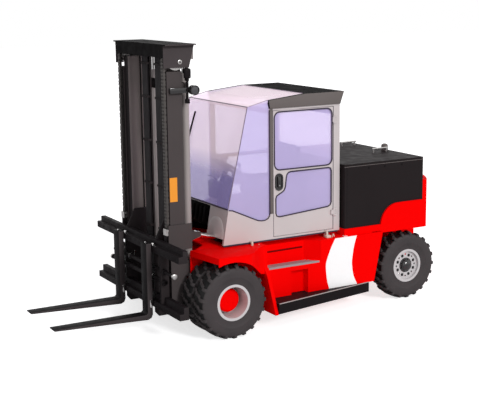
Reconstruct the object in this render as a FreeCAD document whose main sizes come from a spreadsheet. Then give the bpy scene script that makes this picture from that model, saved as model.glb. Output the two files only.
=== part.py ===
"""Electric counterbalance forklift truck: chassis, cab, two-stage mast, carriage, forks and wheels.

Frame: +X is the machine's left, -Y is forward (the forks), +Z is up.  The origin is the centre of
the ground rectangle that the whole truck covers.  Lengths are millimetres.  A size whose name says
a place along the truck (front, rear, centre_y ...) is measured from the front axle unless noted.
"""
import FreeCAD
import Part
import Sketcher
import os
import re

DOC = FreeCAD.newDocument("forklift_truck")

SIZES = {
    # overall layout
    "front_axle_y": (-695, "place of the front axle along Y, from the origin"),
    "wheel_base": (2630, "front axle to rear axle"),
    "seat_gap": (0.3, "gap left between two fitted faces"),
    "pin_gap": (0.3, "radial clearance of a pin in its bore"),
    "run_gap": (6, "clearance of pieces that move past each other"),
    # wheels
    "tyre_radius": (420, "tyre over its lugs"),
    "tyre_width": (244, "tyre across its walls"),
    "tyre_shoulder": (30, "height of the tread's lugs"),
    "lug_count": (21, "lugs in each of a tyre's two rows"),
    "lug_width": (44, "width of a lug's top"),
    "bead_radius": (191, "tyre bore"),
    "bead_width": (188, "tyre across its beads"),
    "rim_lip_radius": (220, "outer radius of a rim's flange"),
    "rim_lip_width": (12, "thickness of a rim's flange"),
    "rim_wall": (14, "thickness of a rim's barrel"),
    "disc_wall": (14, "thickness of a wheel disc"),
    "outer_tyre_x": (1058, "middle of an outer front tyre"),
    "twin_spacing": (275, "middle of outer to middle of inner twin tyre"),
    "drive_hub_radius": (134, "planetary hub"),
    "drive_hub_face": (1046, "outer face of the planetary hub, along X"),
    "hub_flange_radius": (176, "hub flange that carries the discs"),
    "hub_chamfer": (14, "chamfer of a hub's face"),
    "rear_tyre_x": (732, "middle of a rear tyre"),
    "rear_disc_inset": (34, "rear disc's outer face in from the rim's lip plane"),
    "rear_hub_radius": (92, "rear hub cap"),
    "rear_hub_face": (862, "outer face of the rear hub cap, along X"),
    "bolt_circle": (137, "radius of the circle of bolt holes in a rear disc"),
    "bolt_hole": (12, "radius of a bolt hole"),
    "bolt_count": (8, "bolt holes in a rear disc"),
    # axles and steering
    "axle_tube_radius": (88, "front axle housing"),
    "axle_tube_end": (872, "outer end of the front axle housing, along X"),
    "drive_unit_radius": (185, "differential and drive motor"),
    "drive_unit_half": (160, "half width of the drive unit"),
    "drive_unit_y": (80, "middle of the drive unit"),
    "king_pin_x": (540, "steering pivot, along X"),
    "king_pin_radius": (24, "steering pivot pin"),
    "yoke_radius": (50, "boss round the steering pivot"),
    "yoke_ear": (34, "thickness of a yoke's ear"),
    "yoke_arm": (42, "half depth of a yoke's arms"),
    "yoke_inside": (180, "height between a yoke's two ears"),
    "beam_half_depth": (72, "half depth of the steer axle's beam"),
    "beam_half_height": (84, "half height of the steer axle's beam"),
    "beam_end": (478, "end of the steer axle's beam, along X"),
    "spindle_radius": (46, "stub axle of a rear wheel"),
    "axle_carrier_half": (150, "half width of the block that carries the steer axle"),
    # frame
    "frame_half": (640, "outer face of a frame plate"),
    "frame_plate": (40, "thickness of a frame plate"),
    "frame_bottom": (250, "underside of the frame"),
    "nose_relief": (40, "rear end of the frame plates' thin part beside the mast"),
    "nose_relief_low": (600, "lower end of that thin part"),
    "frame_nose": (-262, "front edge of a frame plate"),
    "nose_bottom": (330, "underside of the frame's nose"),
    "frame_skin": (12, "thickness of the belly plate and the floor plate"),
    "cross_plate_y": (300, "front face of the front cross plate"),
    "cross_plate": (30, "thickness of a cross plate"),
    "frame_rear": (2086, "rear face of the frame behind the steps"),
    "deck_top": (940, "top of the front deck and the fenders"),
    "deck_plate": (15, "thickness of the deck"),
    "deck_middle_front": (0, "front edge of the deck between the tilt cylinders"),
    "deck_rear": (190, "rear edge of the deck under the cab"),
    "deck_inner_x": (350, "outer edge of the deck's straight middle"),
    "deck_step_x": (480, "corner of the deck's front edge outside a lift cylinder, along X"),
    "deck_step_front": (-20, "that corner, along Y"),
    # fenders, panels and steps
    "fender_half": (1170, "outer face of a front fender"),
    "fender_front": (-180, "front face of a front fender at its outer corner"),
    "fender_lip": (840, "lower edge of a front fender at its front corner"),
    "fender_wall": (15, "thickness of a fender's wall"),
    "arch_radius": (455, "front wheel arch"),
    "end_plate_front": (500, "front face of the plate behind a front wheel"),
    "end_plate_rear": (600, "rear face of the plate behind a front wheel"),
    "end_plate_x": (1131, "outer edge of the end plate, along X"),
    "end_plate_bottom": (172, "underside of the end plate"),
    "panel_half": (880, "outer face of a side panel"),
    "panel_top": (905, "top of a side panel"),
    "panel_bottom": (305, "bottom of a side panel, and top of the lower step"),
    "panel_rear_top": (2225, "rear edge of a side panel at its top"),
    "panel_rear_bottom": (2100, "rear edge of a side panel at its bottom"),
    "panel_skin": (28, "thickness of a side panel's rear lip"),
    "niche_back": (750, "back wall of the step niche, along X"),
    "niche_rear": (1330, "rear edge of the step niche"),
    "niche_slant": (160, "slant of the niche's rear wall, along Y"),
    "step_niche_bottom": (645, "underside of the upper step's tread"),
    "tread_plate": (22, "thickness of the upper step's tread"),
    "toe_front": (920, "front edge of the toe recess"),
    "toe_rear": (1150, "rear edge of the toe recess"),
    "toe_top": (590, "top of the toe recess"),
    "toe_depth": (90, "depth of the toe recess"),
    "low_step_bottom": (183, "underside of the lower step"),
    "low_step_rear": (2030, "rear end of the lower step"),
    "low_step_rear_x": (872, "outer edge of the lower step at its rear end"),
    "low_step_inner": (800, "inner edge of the lower step"),
    # rear deck, battery, hood and counterweight
    "tray_half": (830, "outer face of the battery tray and the counterweight"),
    "tray_front": (1696, "front edge of the battery tray"),
    "tray_rim": (985, "top of the battery tray's rim"),
    "tray_floor": (930, "top of the battery tray's floor"),
    "weight_front": (2230, "front edge of the counterweight's sides"),
    "weight_rear": (3220, "rear end of the counterweight"),
    "weight_side_rear": (2920, "rear end of the counterweight's flat side"),
    "weight_top": (1228, "top of the counterweight's sides"),
    "weight_crest": (1470, "top of the counterweight's raised rear"),
    "crest_half": (800, "half width of the counterweight's raised rear"),
    "sweep_radius": (260, "curve of the counterweight's front upper corner"),
    "weight_roof": (880, "underside of the counterweight over the wheels"),
    "keel_half": (232, "half width of the counterweight between the wheels"),
    "keel_bottom": (330, "underside of the counterweight between the wheels"),
    "keel_front": (2830, "front face of the counterweight between the wheels"),
    "hood_half": (808, "outer face of the battery hood"),
    "hood_front": (1712, "front face of the battery hood"),
    "hood_rear": (2874, "rear face of the battery hood"),
    "hood_top": (1756, "top of the hood's lid"),
    "hood_wall": (6, "thickness of the hood's walls"),
    "lid_depth": (30, "depth of the lid's rim"),
    "lid_hinge_y": (1703, "hinge line of the lid"),
    "lid_hinge_z": (1748, "height of the lid's hinge line"),
    "lid_hinge_x": (500, "middle of a lid hinge, along X"),
    "lid_hinge_pin": (5, "radius of a lid hinge's pin"),
    "lid_hinge_boss": (8, "radius of a lid hinge's boss"),
    "lid_hinge_length": (60, "length of a lid hinge's boss, and of each of its two ears"),
    "battery_half": (775, "half width of the traction battery"),
    "battery_front": (1770, "front face of the traction battery"),
    "battery_rear": (2820, "rear face of the traction battery"),
    "battery_top": (1640, "top of the traction battery"),
    # cab
    "cab_half": (730, "outer face of the cab's sides"),
    "cab_wall": (32, "thickness of the cab's walls and doors"),
    "cab_bottom": (963, "underside of the cab"),
    "cab_front": (113, "lower front corner of the cab's sides"),
    "cab_rear": (1690, "rear face of the cab"),
    "side_top": (2475, "top of the cab's sides behind the windscreen"),
    "sill_height": (1362, "lower edge of the windscreen"),
    "sill_front": (184, "front face of the windscreen's lower edge"),
    "screen_top": (2510, "upper edge of the windscreen"),
    "screen_top_front": (450, "front face of the windscreen's upper edge"),
    "glass_wall": (8, "thickness of the glass"),
    "door_front": (772, "front edge of the door"),
    "door_rear": (1600, "rear edge of the door"),
    "door_gap": (6, "gap round the door"),
    "door_bottom": (985, "lower edge of the door"),
    "door_top": (2452, "upper edge of the door"),
    "pillar_width": (55, "width of the cab's pillars"),
    "door_post": (14, "width of the door's own frame"),
    "pane_corner": (70, "rounded corners of the door's upper window"),
    "window_start": (236, "place where the front side window's lower edge turns down"),
    "window_start_z": (1354, "height of that place"),
    "sag_front": (531, "place where the front side window's lower edge bends"),
    "sag_height": (1220, "height of that bend"),
    "dip_front": (600, "front end of the window's lowest stretch"),
    "dip_rear": (674, "rear end of the window's lowest stretch"),
    "glass_dip": (1195, "lowest point of the front side window"),
    "dip_rise": (1261, "height where the window's rear edge starts"),
    "window_rear": (728, "rear edge of the front side window"),
    "hinge_x": (744, "door hinge line, along X"),
    "hinge_radius": (8, "door hinge pin"),
    "hinge_boss": (13, "boss round a door hinge pin"),
    "hinge_height": (90, "height of a door hinge"),
    "hinge_low": (1150, "foot of the lower door hinge"),
    "hinge_high": (2250, "foot of the upper door hinge"),
    "hinge_ear": (18, "height of a door hinge's fixed ears"),
    "hinge_leaf": (40, "length of a door hinge's leaves"),
    "belt_low": (1732, "bottom of the door's middle rail"),
    "belt_high": (1764, "top of the door's middle rail"),
    "door_glass_low": (1215, "lower edge of the door's lower window"),
    "low_pane_rise": (51, "rise of that edge towards the rear"),
    "low_pane_rear": (1572, "rear edge of the door's lower window"),
    "low_pane_front": (807, "front edge of the door's lower window"),
    "low_pane_curve": (50, "curve of that window's lower corners"),
    "latch_foot": (1444, "lower end of the door's latch panel"),
    "latch_shelf": (1510, "height of the step under the latch panel"),
    "latch_rear": (948, "rear edge of the door's latch panel"),
    "latch_slant": (37, "slant of that rear edge"),
    "roof_front": (712, "front edge of the black roof's side fascia"),
    "roof_rear": (1740, "rear edge of the roof"),
    "roof_solid_front": (1200, "front edge of the black roof"),
    "roof_half": (745, "half width of the roof"),
    "roof_top": (2620, "top of the roof"),
    "roof_skin": (40, "thickness of the black roof"),
    "roof_crown": (50, "drop of the roof's front corners from its top"),
    "roof_slant": (18, "slant of the side fascia's front edge"),
    "floor_front": (150, "front edge of the cab's floor"),
    "floor_knee": (640, "place where the cab's floor starts to rise"),
    "toe_board_rise": (170, "rise of the floor at its front edge"),
    "floor_plate": (14, "thickness of the cab's floor"),
    "cab_mount_front": (440, "front cab feet"),
    "cab_mount_rear": (1500, "rear cab feet"),
    "cab_mount_radius": (24, "radius of a cab foot"),
    # seat and controls
    "seat_front": (900, "front edge of the seat cushion"),
    "seat_rear": (1400, "rear edge of the seat cushion"),
    "seat_half": (255, "half width of the seat"),
    "seat_top": (1420, "top of the seat cushion"),
    "seat_thick": (120, "thickness of the seat cushion"),
    "seat_base_half": (240, "half width of the seat's base"),
    "back_rest_top": (2020, "top of the seat's back rest"),
    "wheel_rim_radius": (185, "steering wheel"),
    "wheel_tube": (15, "radius of the steering wheel's rim tube"),
    "column_y": (520, "middle of the steering wheel"),
    "column_top": (1600, "height of the steering wheel"),
    "column_radius": (42, "steering column"),
    # mast
    "mast_pivot_y": (-200, "tilt pivot of the mast"),
    "mast_pivot_z": (420, "height of the tilt pivot"),
    "mast_pin_radius": (34, "tilt pivot pins"),
    "mast_boss_radius": (64, "boss round a tilt pivot pin"),
    "outer_half": (620, "outer face of the outer rails"),
    "rail_web": (24, "thickness of the rails' webs"),
    "rail_flange": (26, "thickness of the rails' flanges"),
    "outer_flange_depth": (70, "outer rail across its flanges, along X"),
    "outer_front": (-492, "front face of the outer rails"),
    "outer_rear": (-310, "rear face of the outer rails"),
    "outer_bottom": (196, "lower end of the outer rails"),
    "outer_top": (2940, "upper end of the outer rails"),
    "inner_bottom": (270, "lower end of the inner rails"),
    "inner_top": (3060, "upper end of the inner rails"),
    "inner_half": (543, "outer face of the inner rails"),
    "inner_depth": (109, "inner rail across its flanges, along X"),
    "inner_web": (499, "outer face of the inner rails' webs"),
    "inner_front": (-478, "front face of the inner rails"),
    "inner_rear": (-288, "rear face of the inner rails"),
    "tie_height": (180, "height of the mast's cross ties"),
    "tie_depth": (32, "thickness of the mast's cross ties, along Y"),
    "tie_front": (-266, "front face of the outer mast's cross ties"),
    "upper_tie_height": (110, "height of the outer mast's upper tie"),
    "stay_inner": (400, "inner face of the outer mast's stay bars"),
    "stay_width": (40, "width of a stay bar"),
    "inner_tie_depth": (14, "thickness of the inner mast's cross tie, along Y"),
    "lower_tie_bottom": (640, "underside of the outer mast's lower tie"),
    "upper_tie_bottom": (2700, "underside of the outer mast's upper tie"),
    "side_plate_front": (-520, "front edge of the outer mast's lower side plates"),
    "side_plate_rear": (-230, "rear edge of the outer mast's lower side plates"),
    "side_plate_low": (960, "lower edge of those plates"),
    "side_plate_high": (1250, "upper edge of those plates"),
    "side_plate": (12, "thickness of those plates"),
    "cap_half": (646, "outer face of the cap's side plates"),
    "cap_flange_half": (700, "half width of the cap's top flange"),
    "cap_front": (-538, "front face of the cap"),
    "cap_rear": (-165, "rear edge of the cap's top"),
    "cap_tail": (-230, "rear edge of the cap's side plates at their foot"),
    "cap_top": (3235, "top of the cap"),
    "cap_plate": (14, "thickness of the cap's plates"),
    "cap_apron": (3092, "lower edge of the cap's front plate"),
    "cap_foot": (2980, "lower edge of the cap's side plates"),
    "pulley_y": (-372, "axle of the chain wheels"),
    "pulley_z": (3078, "height of the chain wheels' axle"),
    "pulley_radius": (126, "chain wheels"),
    "pulley_width": (50, "width of a chain wheel"),
    "chain_x": (586, "middle of a chain, along X"),
    "chain_width": (56, "width of a chain"),
    "chain_thick": (32, "thickness of a chain"),
    "chain_pitch": (76, "one outer and one inner link of a chain"),
    "link_relief": (9, "depth between two outer links of a chain"),
    "chain_anchor": (60, "chain anchor above the carriage's upper lip"),
    "chain_anchor_z": (2820, "height of the chains' rear anchors"),
    "lift_x": (405, "middle of a lift cylinder, along X"),
    "lift_y": (-170, "middle of a lift cylinder"),
    "lift_radius": (45, "lift cylinder's barrel"),
    "lift_rod_radius": (32, "lift cylinder's rod"),
    "lift_foot": (300, "lower end of the lift cylinders"),
    "lift_head": (2900, "upper end of the lift cylinders' barrels"),
    "rod_start": (420, "lower end of a lift rod inside its barrel"),
    # tilt cylinders
    "tilt_x": (510, "middle of a tilt cylinder, along X"),
    "tilt_eye_y": (-110, "tilt rod's eye"),
    "tilt_eye_z": (1085, "height of the tilt rod's eye"),
    "tilt_base_y": (950, "tilt barrel's base pin"),
    "tilt_base_z": (825, "height of the tilt barrel's base pin"),
    "tilt_barrel_radius": (48, "tilt cylinder's barrel"),
    "tilt_rod_radius": (27, "tilt cylinder's rod"),
    "tilt_gland": (250, "tilt rod's eye to the barrel's front end"),
    "tilt_rod_length": (560, "tilt rod from its eye to its piston end"),
    "tilt_stroke": (130, "travel left for the tilt rod in its barrel, from rest"),
    "tilt_eye_radius": (42, "eye of the tilt rod"),
    "tilt_eye_width": (60, "width of the tilt rod's eye"),
    "tilt_pin_radius": (18, "tilt cylinder's pins"),
    "eye_play": (6, "clearance of the mast's pin in the tilt rod's eye"),
    "lug_plate": (18, "thickness of a pin lug's plate"),
    # carriage and forks
    "carriage_half": (1140, "half width of the carriage"),
    "carriage_front": (-652, "front face of the carriage's bars"),
    "bar_depth": (52, "depth of the carriage's bars, along Y"),
    "top_bar_low": (935, "lower edge of the upper bar"),
    "top_bar_high": (1012, "upper edge of the upper bar"),
    "top_lip_high": (1120, "top of the upper bar's rear lip"),
    "lip_depth": (22, "depth of a bar's rear lip"),
    "low_bar_low": (304, "lower edge of the lower bar"),
    "low_bar_high": (378, "upper edge of the lower bar"),
    "low_lip_high": (490, "top of the lower bar's rear lip"),
    "stem_x": (412, "outer face of the carriage's roller plates"),
    "stem_plate": (30, "thickness of the carriage's roller plates"),
    "stem_rear": (-302, "rear edge of the carriage's roller plates"),
    "stem_low": (165, "lower end of the carriage's roller plates"),
    "stem_high": (1270, "upper end of the carriage's roller plates"),
    "stem_neck": (-470, "front edge of the roller plates above the upper bar"),
    "roller_radius": (63, "mast rollers"),
    "roller_reach": (57, "mast roller out from its plate, along X"),
    "roller_y": (-383, "middle of the mast rollers"),
    "low_roller_z": (250, "height of the lower rollers"),
    "high_roller_z": (1160, "height of the upper rollers"),
    "post_width": (34, "width of the carriage's inner posts"),
    "inner_post_x": (640, "middle of the carriage's inner posts"),
    "shifter_z": (745, "height of the upper fork shifter cylinder"),
    "shifter_radius": (28, "fork shifter cylinders' barrels"),
    "shifter_rod": (18, "fork shifter cylinders' rods"),
    "shifter_drop": (120, "height between the two fork shifter cylinders"),
    "shifter_end": (930, "end of the upper shifter's rod, left of the truck's middle"),
    "shifter_far_end": (800, "end of the lower shifter's rod, right of the truck's middle"),
    "fork_x": (385, "middle of a fork"),
    "fork_width": (150, "width of a fork"),
    "fork_face": (-720, "front face of the forks' shanks"),
    "fork_thick": (62, "thickness of a fork"),
    "fork_tip": (-1830, "tip of the forks"),
    "fork_bottom": (155, "underside of the forks' blades"),
    "fork_high": (1035, "top of the forks' shanks"),
    "fork_tip_thick": (14, "thickness of a blade's tip"),
    "fork_taper": (260, "length of a blade's narrowed tip"),
    "heel_radius": (60, "rounded heel of a fork"),
    "fork_tip_width": (80, "width of a blade's tip"),
    "fork_hook": (44, "depth of a fork's hook over the upper bar"),
    # small outside pieces
    "orange_front": (-486, "front edge of the orange plate on the mast"),
    "orange_rear": (-395, "rear edge of the orange plate"),
    "orange_low": (1510, "lower edge of the orange plate"),
    "orange_high": (1780, "upper edge of the orange plate"),
    "orange_thick": (3, "thickness of the orange plate"),
    "arm_x": (664, "outer face of the lamp's arm"),
    "arm_front": (-460, "front end of the lamp's arm"),
    "arm_z": (2735, "height of the lamp's arm"),
    "arm_height": (70, "height of the lamp's arm"),
    "lamp_y": (-170, "middle of the lamp on its arm"),
    "lamp_radius": (60, "lamp"),
    "lamp_length": (110, "length of the lamp, along X"),
    "handle_rise": (60, "height of a lid handle above the lid"),
    "handle_tube": (11, "radius of a lid handle's tube"),
    "handle_span": (200, "length of a lid handle"),
    "handle_y": (2665, "middle of the lid handles"),
    "handle_far_x": (500, "right handle from the middle, along X"),
    "handle_near_x": (200, "left handle from the middle, along X"),
    "tow_pin_radius": (20, "pin that the towing jaw takes"),
    "tow_jaw_z": (560, "height of the tow pin's jaw"),
    "tow_jaw_gap": (70, "height of the tow pin's jaw opening"),
    "tow_jaw_depth": (120, "depth of the tow pin's jaw"),
}

SHEET = DOC.addObject("Spreadsheet::Sheet", "Sizes")
for row, (alias, (number, meaning)) in enumerate(SIZES.items(), start=1):
    SHEET.set(f"A{row}", alias)
    SHEET.set(f"B{row}", str(number))
    SHEET.set(f"C{row}", meaning)
    SHEET.setAlias(f"B{row}", alias)
DOC.recompute()

ALIAS = re.compile(r"\b[a-z]+(?:_[a-z]+)+\b")
PLANES = {"XY": "XY_Plane", "XZ": "XZ_Plane", "YZ": "YZ_Plane"}
X_TURN = FreeCAD.Rotation(FreeCAD.Vector(0, 1, 0), 90)
Y_TURN = FreeCAD.Rotation(FreeCAD.Vector(-1, 0, 0), 90)
TURNS = {"X": X_TURN, "Y": Y_TURN, "Z": FreeCAD.Rotation()}
REAR_AXLE = "wheel_base"
NODES = []


def bound(text):
    """Turn a formula of size names into one that reads the sheet."""
    return ALIAS.sub(lambda found: "Sizes." + found.group(0), text)


def size(alias):
    """The present value of one size."""
    return float(SHEET.get(alias))


def along(text):
    """A place along the truck, given from the front axle."""
    return f"front_axle_y + ({text})"


def place(item, x="0", y="0", z="0"):
    """Tie the base point of an object's placement to the sheet."""
    for axis, text in zip("xyz", (x, y, z)):
        item.setExpression(f"Placement.Base.{axis}", bound(text))


def box(name, x_pair, y_pair, z_pair):
    """A block between two formulas on each axis; Y is from the front axle."""
    item = DOC.addObject("Part::Box", name)
    for side, (low, high) in zip(("Length", "Width", "Height"), (x_pair, y_pair, z_pair)):
        item.setExpression(side, bound(f"({high}) - ({low})"))
    place(item, x_pair[0], along(y_pair[0]), z_pair[0])
    return item


def rod(name, axis, radius, start, length):
    """A cylinder from a start point along an axis; Y of the start is from the front axle."""
    item = DOC.addObject("Part::Cylinder", name)
    item.Placement = FreeCAD.Placement(FreeCAD.Vector(), TURNS[axis])
    item.setExpression("Radius", bound(radius))
    item.setExpression("Height", bound(length))
    place(item, start[0], along(start[1]), start[2])
    return item


def fuse(name, items):
    """One solid from several."""
    item = DOC.addObject("Part::MultiFuse", name)
    item.Shapes = items
    item.Refine = True
    return item


def cut(name, base, tools):
    """A base with every tool taken out of it."""
    tool = tools[0]
    if len(tools) > 1:
        tool = DOC.addObject("Part::Compound", name + "Tools")
        tool.Links = tools
    item = DOC.addObject("Part::Cut", name)
    item.Base = base
    item.Tool = tool
    item.Refine = True
    return item


def common(name, first, second):
    """What two objects share."""
    item = DOC.addObject("Part::Common", name)
    item.Base = first
    item.Tool = second
    return item


def mirrored(name, source):
    """The same object on the other side of the truck."""
    item = DOC.addObject("Part::Mirroring", name)
    item.Source = source
    item.Normal = FreeCAD.Vector(1, 0, 0)
    return item


def group(name, items):
    """Solids that share one node without touching."""
    item = DOC.addObject("Part::Compound", name)
    item.Links = items
    return item


def node(label, item):
    """Give a finished object the name of its node."""
    item.Label = label
    NODES.append(item)
    return item


def sketch_of(owner, name, plane, points, offset):
    """A closed outline on one of a body's planes, each corner tied to two formulas."""
    sketch = owner.newObject("Sketcher::SketchObject", name)
    for feature in owner.Origin.OriginFeatures:
        if feature.Role == PLANES[plane]:
            sketch.AttachmentSupport = [(feature, "")]
    sketch.MapMode = "FlatFace"
    sketch.setExpression("AttachmentOffset.Base.z", bound(offset))
    count = len(points)
    for index in range(count):
        start = FreeCAD.Vector(index, index * index, 0)
        finish = FreeCAD.Vector(index + 1, (index + 1) ** 2, 0)
        sketch.addGeometry(Part.LineSegment(start, finish), False)
    for index in range(count):
        following = (index + 1) % count
        sketch.addConstraint(Sketcher.Constraint("Coincident", index, 2, following, 1))
    for index, pair in enumerate(points):
        for kind, text in zip(("DistanceX", "DistanceY"), pair):
            number = sketch.addConstraint(Sketcher.Constraint(kind, -1, 1, index, 1, index + 1.0))
            sketch.renameConstraint(number, f"{kind}{index}")
            sketch.setExpression(f"Constraints.{kind}{index}", bound(text))
    return sketch


def plate(name, plane, points, low, high):
    """A body padded from an outline, between two formulas along the plane's normal."""
    owner = DOC.addObject("PartDesign::Body", name)
    start = low
    if plane == "XZ":
        start = f"-({along(high)})"
    if plane == "YZ":
        points = [(along(y), z) for y, z in points]
    if plane == "XY":
        points = [(x, along(y)) for x, y in points]
    sketch = sketch_of(owner, name + "Outline", plane, points, start)
    pad = owner.newObject("PartDesign::Pad", name + "Pad")
    pad.Profile = sketch
    pad.setExpression("Length", bound(f"({high}) - ({low})"))
    owner.Tip = pad
    return owner


def turned(name, points, x, y, z):
    """A body turned about an axis along X; the outline is pairs of (along X, radius)."""
    owner = DOC.addObject("PartDesign::Body", name)
    sketch = sketch_of(owner, name + "Outline", "XY", points, "0")
    turn = owner.newObject("PartDesign::Revolution", name + "Turn")
    turn.Profile = sketch
    turn.ReferenceAxis = (sketch, ["H_Axis"])
    turn.Angle = 360
    owner.Tip = turn
    place(owner, x, along(y), z)
    return owner


def prism(name, sides, radius, low, high):
    """A regular prism along X round the origin, with a corner at its foot."""
    item = DOC.addObject("Part::Prism", name)
    item.setExpression("Polygon", bound(sides))
    item.setExpression("Circumradius", bound(radius))
    item.setExpression("Height", bound(f"({high}) - ({low})"))
    item.Placement = FreeCAD.Placement(FreeCAD.Vector(), TURNS["X"])
    place(item, low)
    return item


def lug_row(name, first, low, high):
    """A row of lugs; each stands on one facet of the tyre's core, its foot as wide as the facet."""
    owner = DOC.addObject("PartDesign::Body", name)
    facet = "180 deg / lug_count"
    root = "(tyre_radius - tyre_shoulder)"
    middle = f"({first} + 0.5) * {facet}"
    corners = [(f"{root} * sin({turn} * {facet})", f"-{root} * cos({turn} * {facet})")
               for turn in (first, first + 1)]
    tops = [(f"tyre_radius * sin({middle}) + {side} * lug_width / 2 * cos({middle})",
             f"-tyre_radius * cos({middle}) + {side} * lug_width / 2 * sin({middle})") for side in (1, -1)]
    sketch = sketch_of(owner, name + "Outline", "YZ", corners + tops, low)
    pad = owner.newObject("PartDesign::Pad", name + "Pad")
    pad.Profile = sketch
    pad.setExpression("Length", bound(f"({high}) - ({low})"))
    ring = owner.newObject("PartDesign::PolarPattern", name + "Ring")
    ring.Originals = [pad]
    ring.Axis = (sketch, ["N_Axis"])
    ring.Angle = 360
    ring.setExpression("Occurrences", bound("lug_count"))
    owner.Tip = ring
    return owner


def tyre(name, middle, y):
    """A tyre with two rows of lugs, half a pitch apart; one lug stands on the ground."""
    half = "tyre_width / 2"
    core = prism(f"{name}Core", "lug_count * 2", "tyre_radius - tyre_shoulder", f"-{half}", half)
    bore = prism(f"{name}Bore", "lug_count", "bead_radius / cos(180 deg / lug_count)",
                 f"-{half} - 1", f"{half} + 1")
    solid = fuse(f"{name}Solid", [core, lug_row(f"{name}LugsOuter", 0, "0", half),
                                  lug_row(f"{name}LugsInner", 1, f"-{half}", "0")])
    hollow = "rim_lip_radius + tyre_shoulder"
    whole = cut(name, solid, [
        bore,
        prism(f"{name}HollowOuter", "lug_count", hollow, "bead_width / 2", f"{half} + 1"),
        prism(f"{name}HollowInner", "lug_count", hollow, f"-{half} - 1", "-bead_width / 2"),
    ])
    whole.Placement = FreeCAD.Placement(FreeCAD.Vector(), FreeCAD.Rotation(FreeCAD.Vector(1, 0, 0), 1))
    whole.setExpression("Placement.Rotation.Angle", bound("-90 deg / lug_count"))
    place(whole, middle, along(y), "tyre_radius")
    return whole


def disc(name, inner_face, hole, y):
    """A flat wheel disc inside a rim, from its inner face outwards along X."""
    outline = [
        ("0", hole),
        ("disc_wall", hole),
        ("disc_wall", "bead_radius - seat_gap - rim_wall / 2"),
        ("0", "bead_radius - seat_gap - rim_wall / 2"),
    ]
    return turned(name, outline, inner_face, y, "tyre_radius")


def barrel(name, middle, y):
    """A rim's barrel with a flange on each side of the tyre's beads."""
    lip = "bead_width / 2 + seat_gap"
    half = f"{lip} + rim_lip_width"
    outline = [
        (f"-({half})", "bead_radius - seat_gap - rim_wall"),
        (half, "bead_radius - seat_gap - rim_wall"),
        (half, "rim_lip_radius"),
        (lip, "rim_lip_radius"),
        (lip, "bead_radius - seat_gap"),
        (f"-({lip})", "bead_radius - seat_gap"),
        (f"-({lip})", "rim_lip_radius"),
        (f"-({half})", "rim_lip_radius"),
    ]
    return turned(name, outline, middle, y, "tyre_radius")


TWIN_MIDDLE = "outer_tyre_x - twin_spacing / 2"
INNER_TYRE = "outer_tyre_x - twin_spacing"
RIM_HALF = "bead_width / 2 + seat_gap + rim_lip_width"


def front_wheel():
    """Twin tyres, their two dished rims and the planetary hub on the left side."""
    tyres = group("FrontTyres", [tyre("OuterTyre", "outer_tyre_x", "0"),
                                 tyre("InnerTyre", INNER_TYRE, "0")])
    hole = "drive_hub_radius + seat_gap"
    outer = fuse("OuterRim", [barrel("OuterBarrel", "outer_tyre_x", "0"),
                              disc("OuterDisc", f"{TWIN_MIDDLE} + seat_gap / 2", hole, "0"),
                              dish("OuterDish", 1)])
    inner = fuse("InnerRim", [barrel("InnerBarrel", INNER_TYRE, "0"),
                              disc("InnerDisc", f"{TWIN_MIDDLE} - seat_gap / 2 - disc_wall", hole, "0"),
                              dish("InnerDish", -1)])
    rims = group("FrontRims", [outer, inner])
    flange_face = f"{TWIN_MIDDLE} - seat_gap * 1.5 - disc_wall"
    bearing = "axle_tube_radius + pin_gap"
    start = "frame_half + run_gap * 3"
    outline = [
        (start, bearing),
        ("axle_tube_end + pin_gap", bearing),
        ("axle_tube_end + pin_gap", "0"),
        ("drive_hub_face", "0"),
        ("drive_hub_face", "drive_hub_radius - hub_chamfer"),
        ("drive_hub_face - hub_chamfer", "drive_hub_radius"),
        (flange_face, "drive_hub_radius"),
        (flange_face, "hub_flange_radius - rim_wall"),
        (f"{flange_face} - disc_wall", "hub_flange_radius - rim_wall"),
        (f"{flange_face} - disc_wall", "drive_hub_radius"),
        (start, "drive_hub_radius"),
    ]
    hub = turned("DriveHub", outline, "0", "0", "tyre_radius")
    return tyres, rims, hub


def dish(name, side):
    """The cone that joins a twin wheel's disc to its barrel."""
    near = f"{TWIN_MIDDLE} + ({side}) * seat_gap / 2"
    far = f"{TWIN_MIDDLE} + ({side}) * (twin_spacing / 2 - bead_width / 2)"
    rim_inside = "bead_radius - seat_gap - rim_wall"
    outline = [
        (near, f"{rim_inside} - disc_wall"),
        (near, "bead_radius - seat_gap - rim_wall / 2"),
        (far, "bead_radius - seat_gap - rim_wall / 2"),
        (far, f"{rim_inside} - 1"),
    ]
    return turned(name, outline, "0", "0", "tyre_radius")


def rear_wheel():
    """A single tyre, its rim with bolt holes and its hub cap on the left side."""
    y = REAR_AXLE
    rear_tyre = tyre("RearTyre", "rear_tyre_x", y)
    face = f"rear_tyre_x + {RIM_HALF} - rear_disc_inset"
    rim = fuse("RearRimSolid", [barrel("RearBarrel", "rear_tyre_x", y),
                                disc("RearDisc", f"{face} - disc_wall", "rear_hub_radius + seat_gap", y)])
    holes = bolt_holes(face, y)
    rim = cut("RearRim", rim, [holes])
    outline = [
        ("king_pin_x + yoke_radius + run_gap * 2", "spindle_radius + pin_gap"),
        (f"{face} - disc_wall", "spindle_radius + pin_gap"),
        (f"{face} - disc_wall", "0"),
        ("rear_hub_face", "0"),
        ("rear_hub_face", "rear_hub_radius - hub_chamfer * 2"),
        ("rear_hub_face - hub_chamfer", "rear_hub_radius"),
        ("king_pin_x + yoke_radius + run_gap * 2", "rear_hub_radius"),
    ]
    hub = turned("RearHub", outline, "0", y, "tyre_radius")
    return rear_tyre, rim, hub


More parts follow.
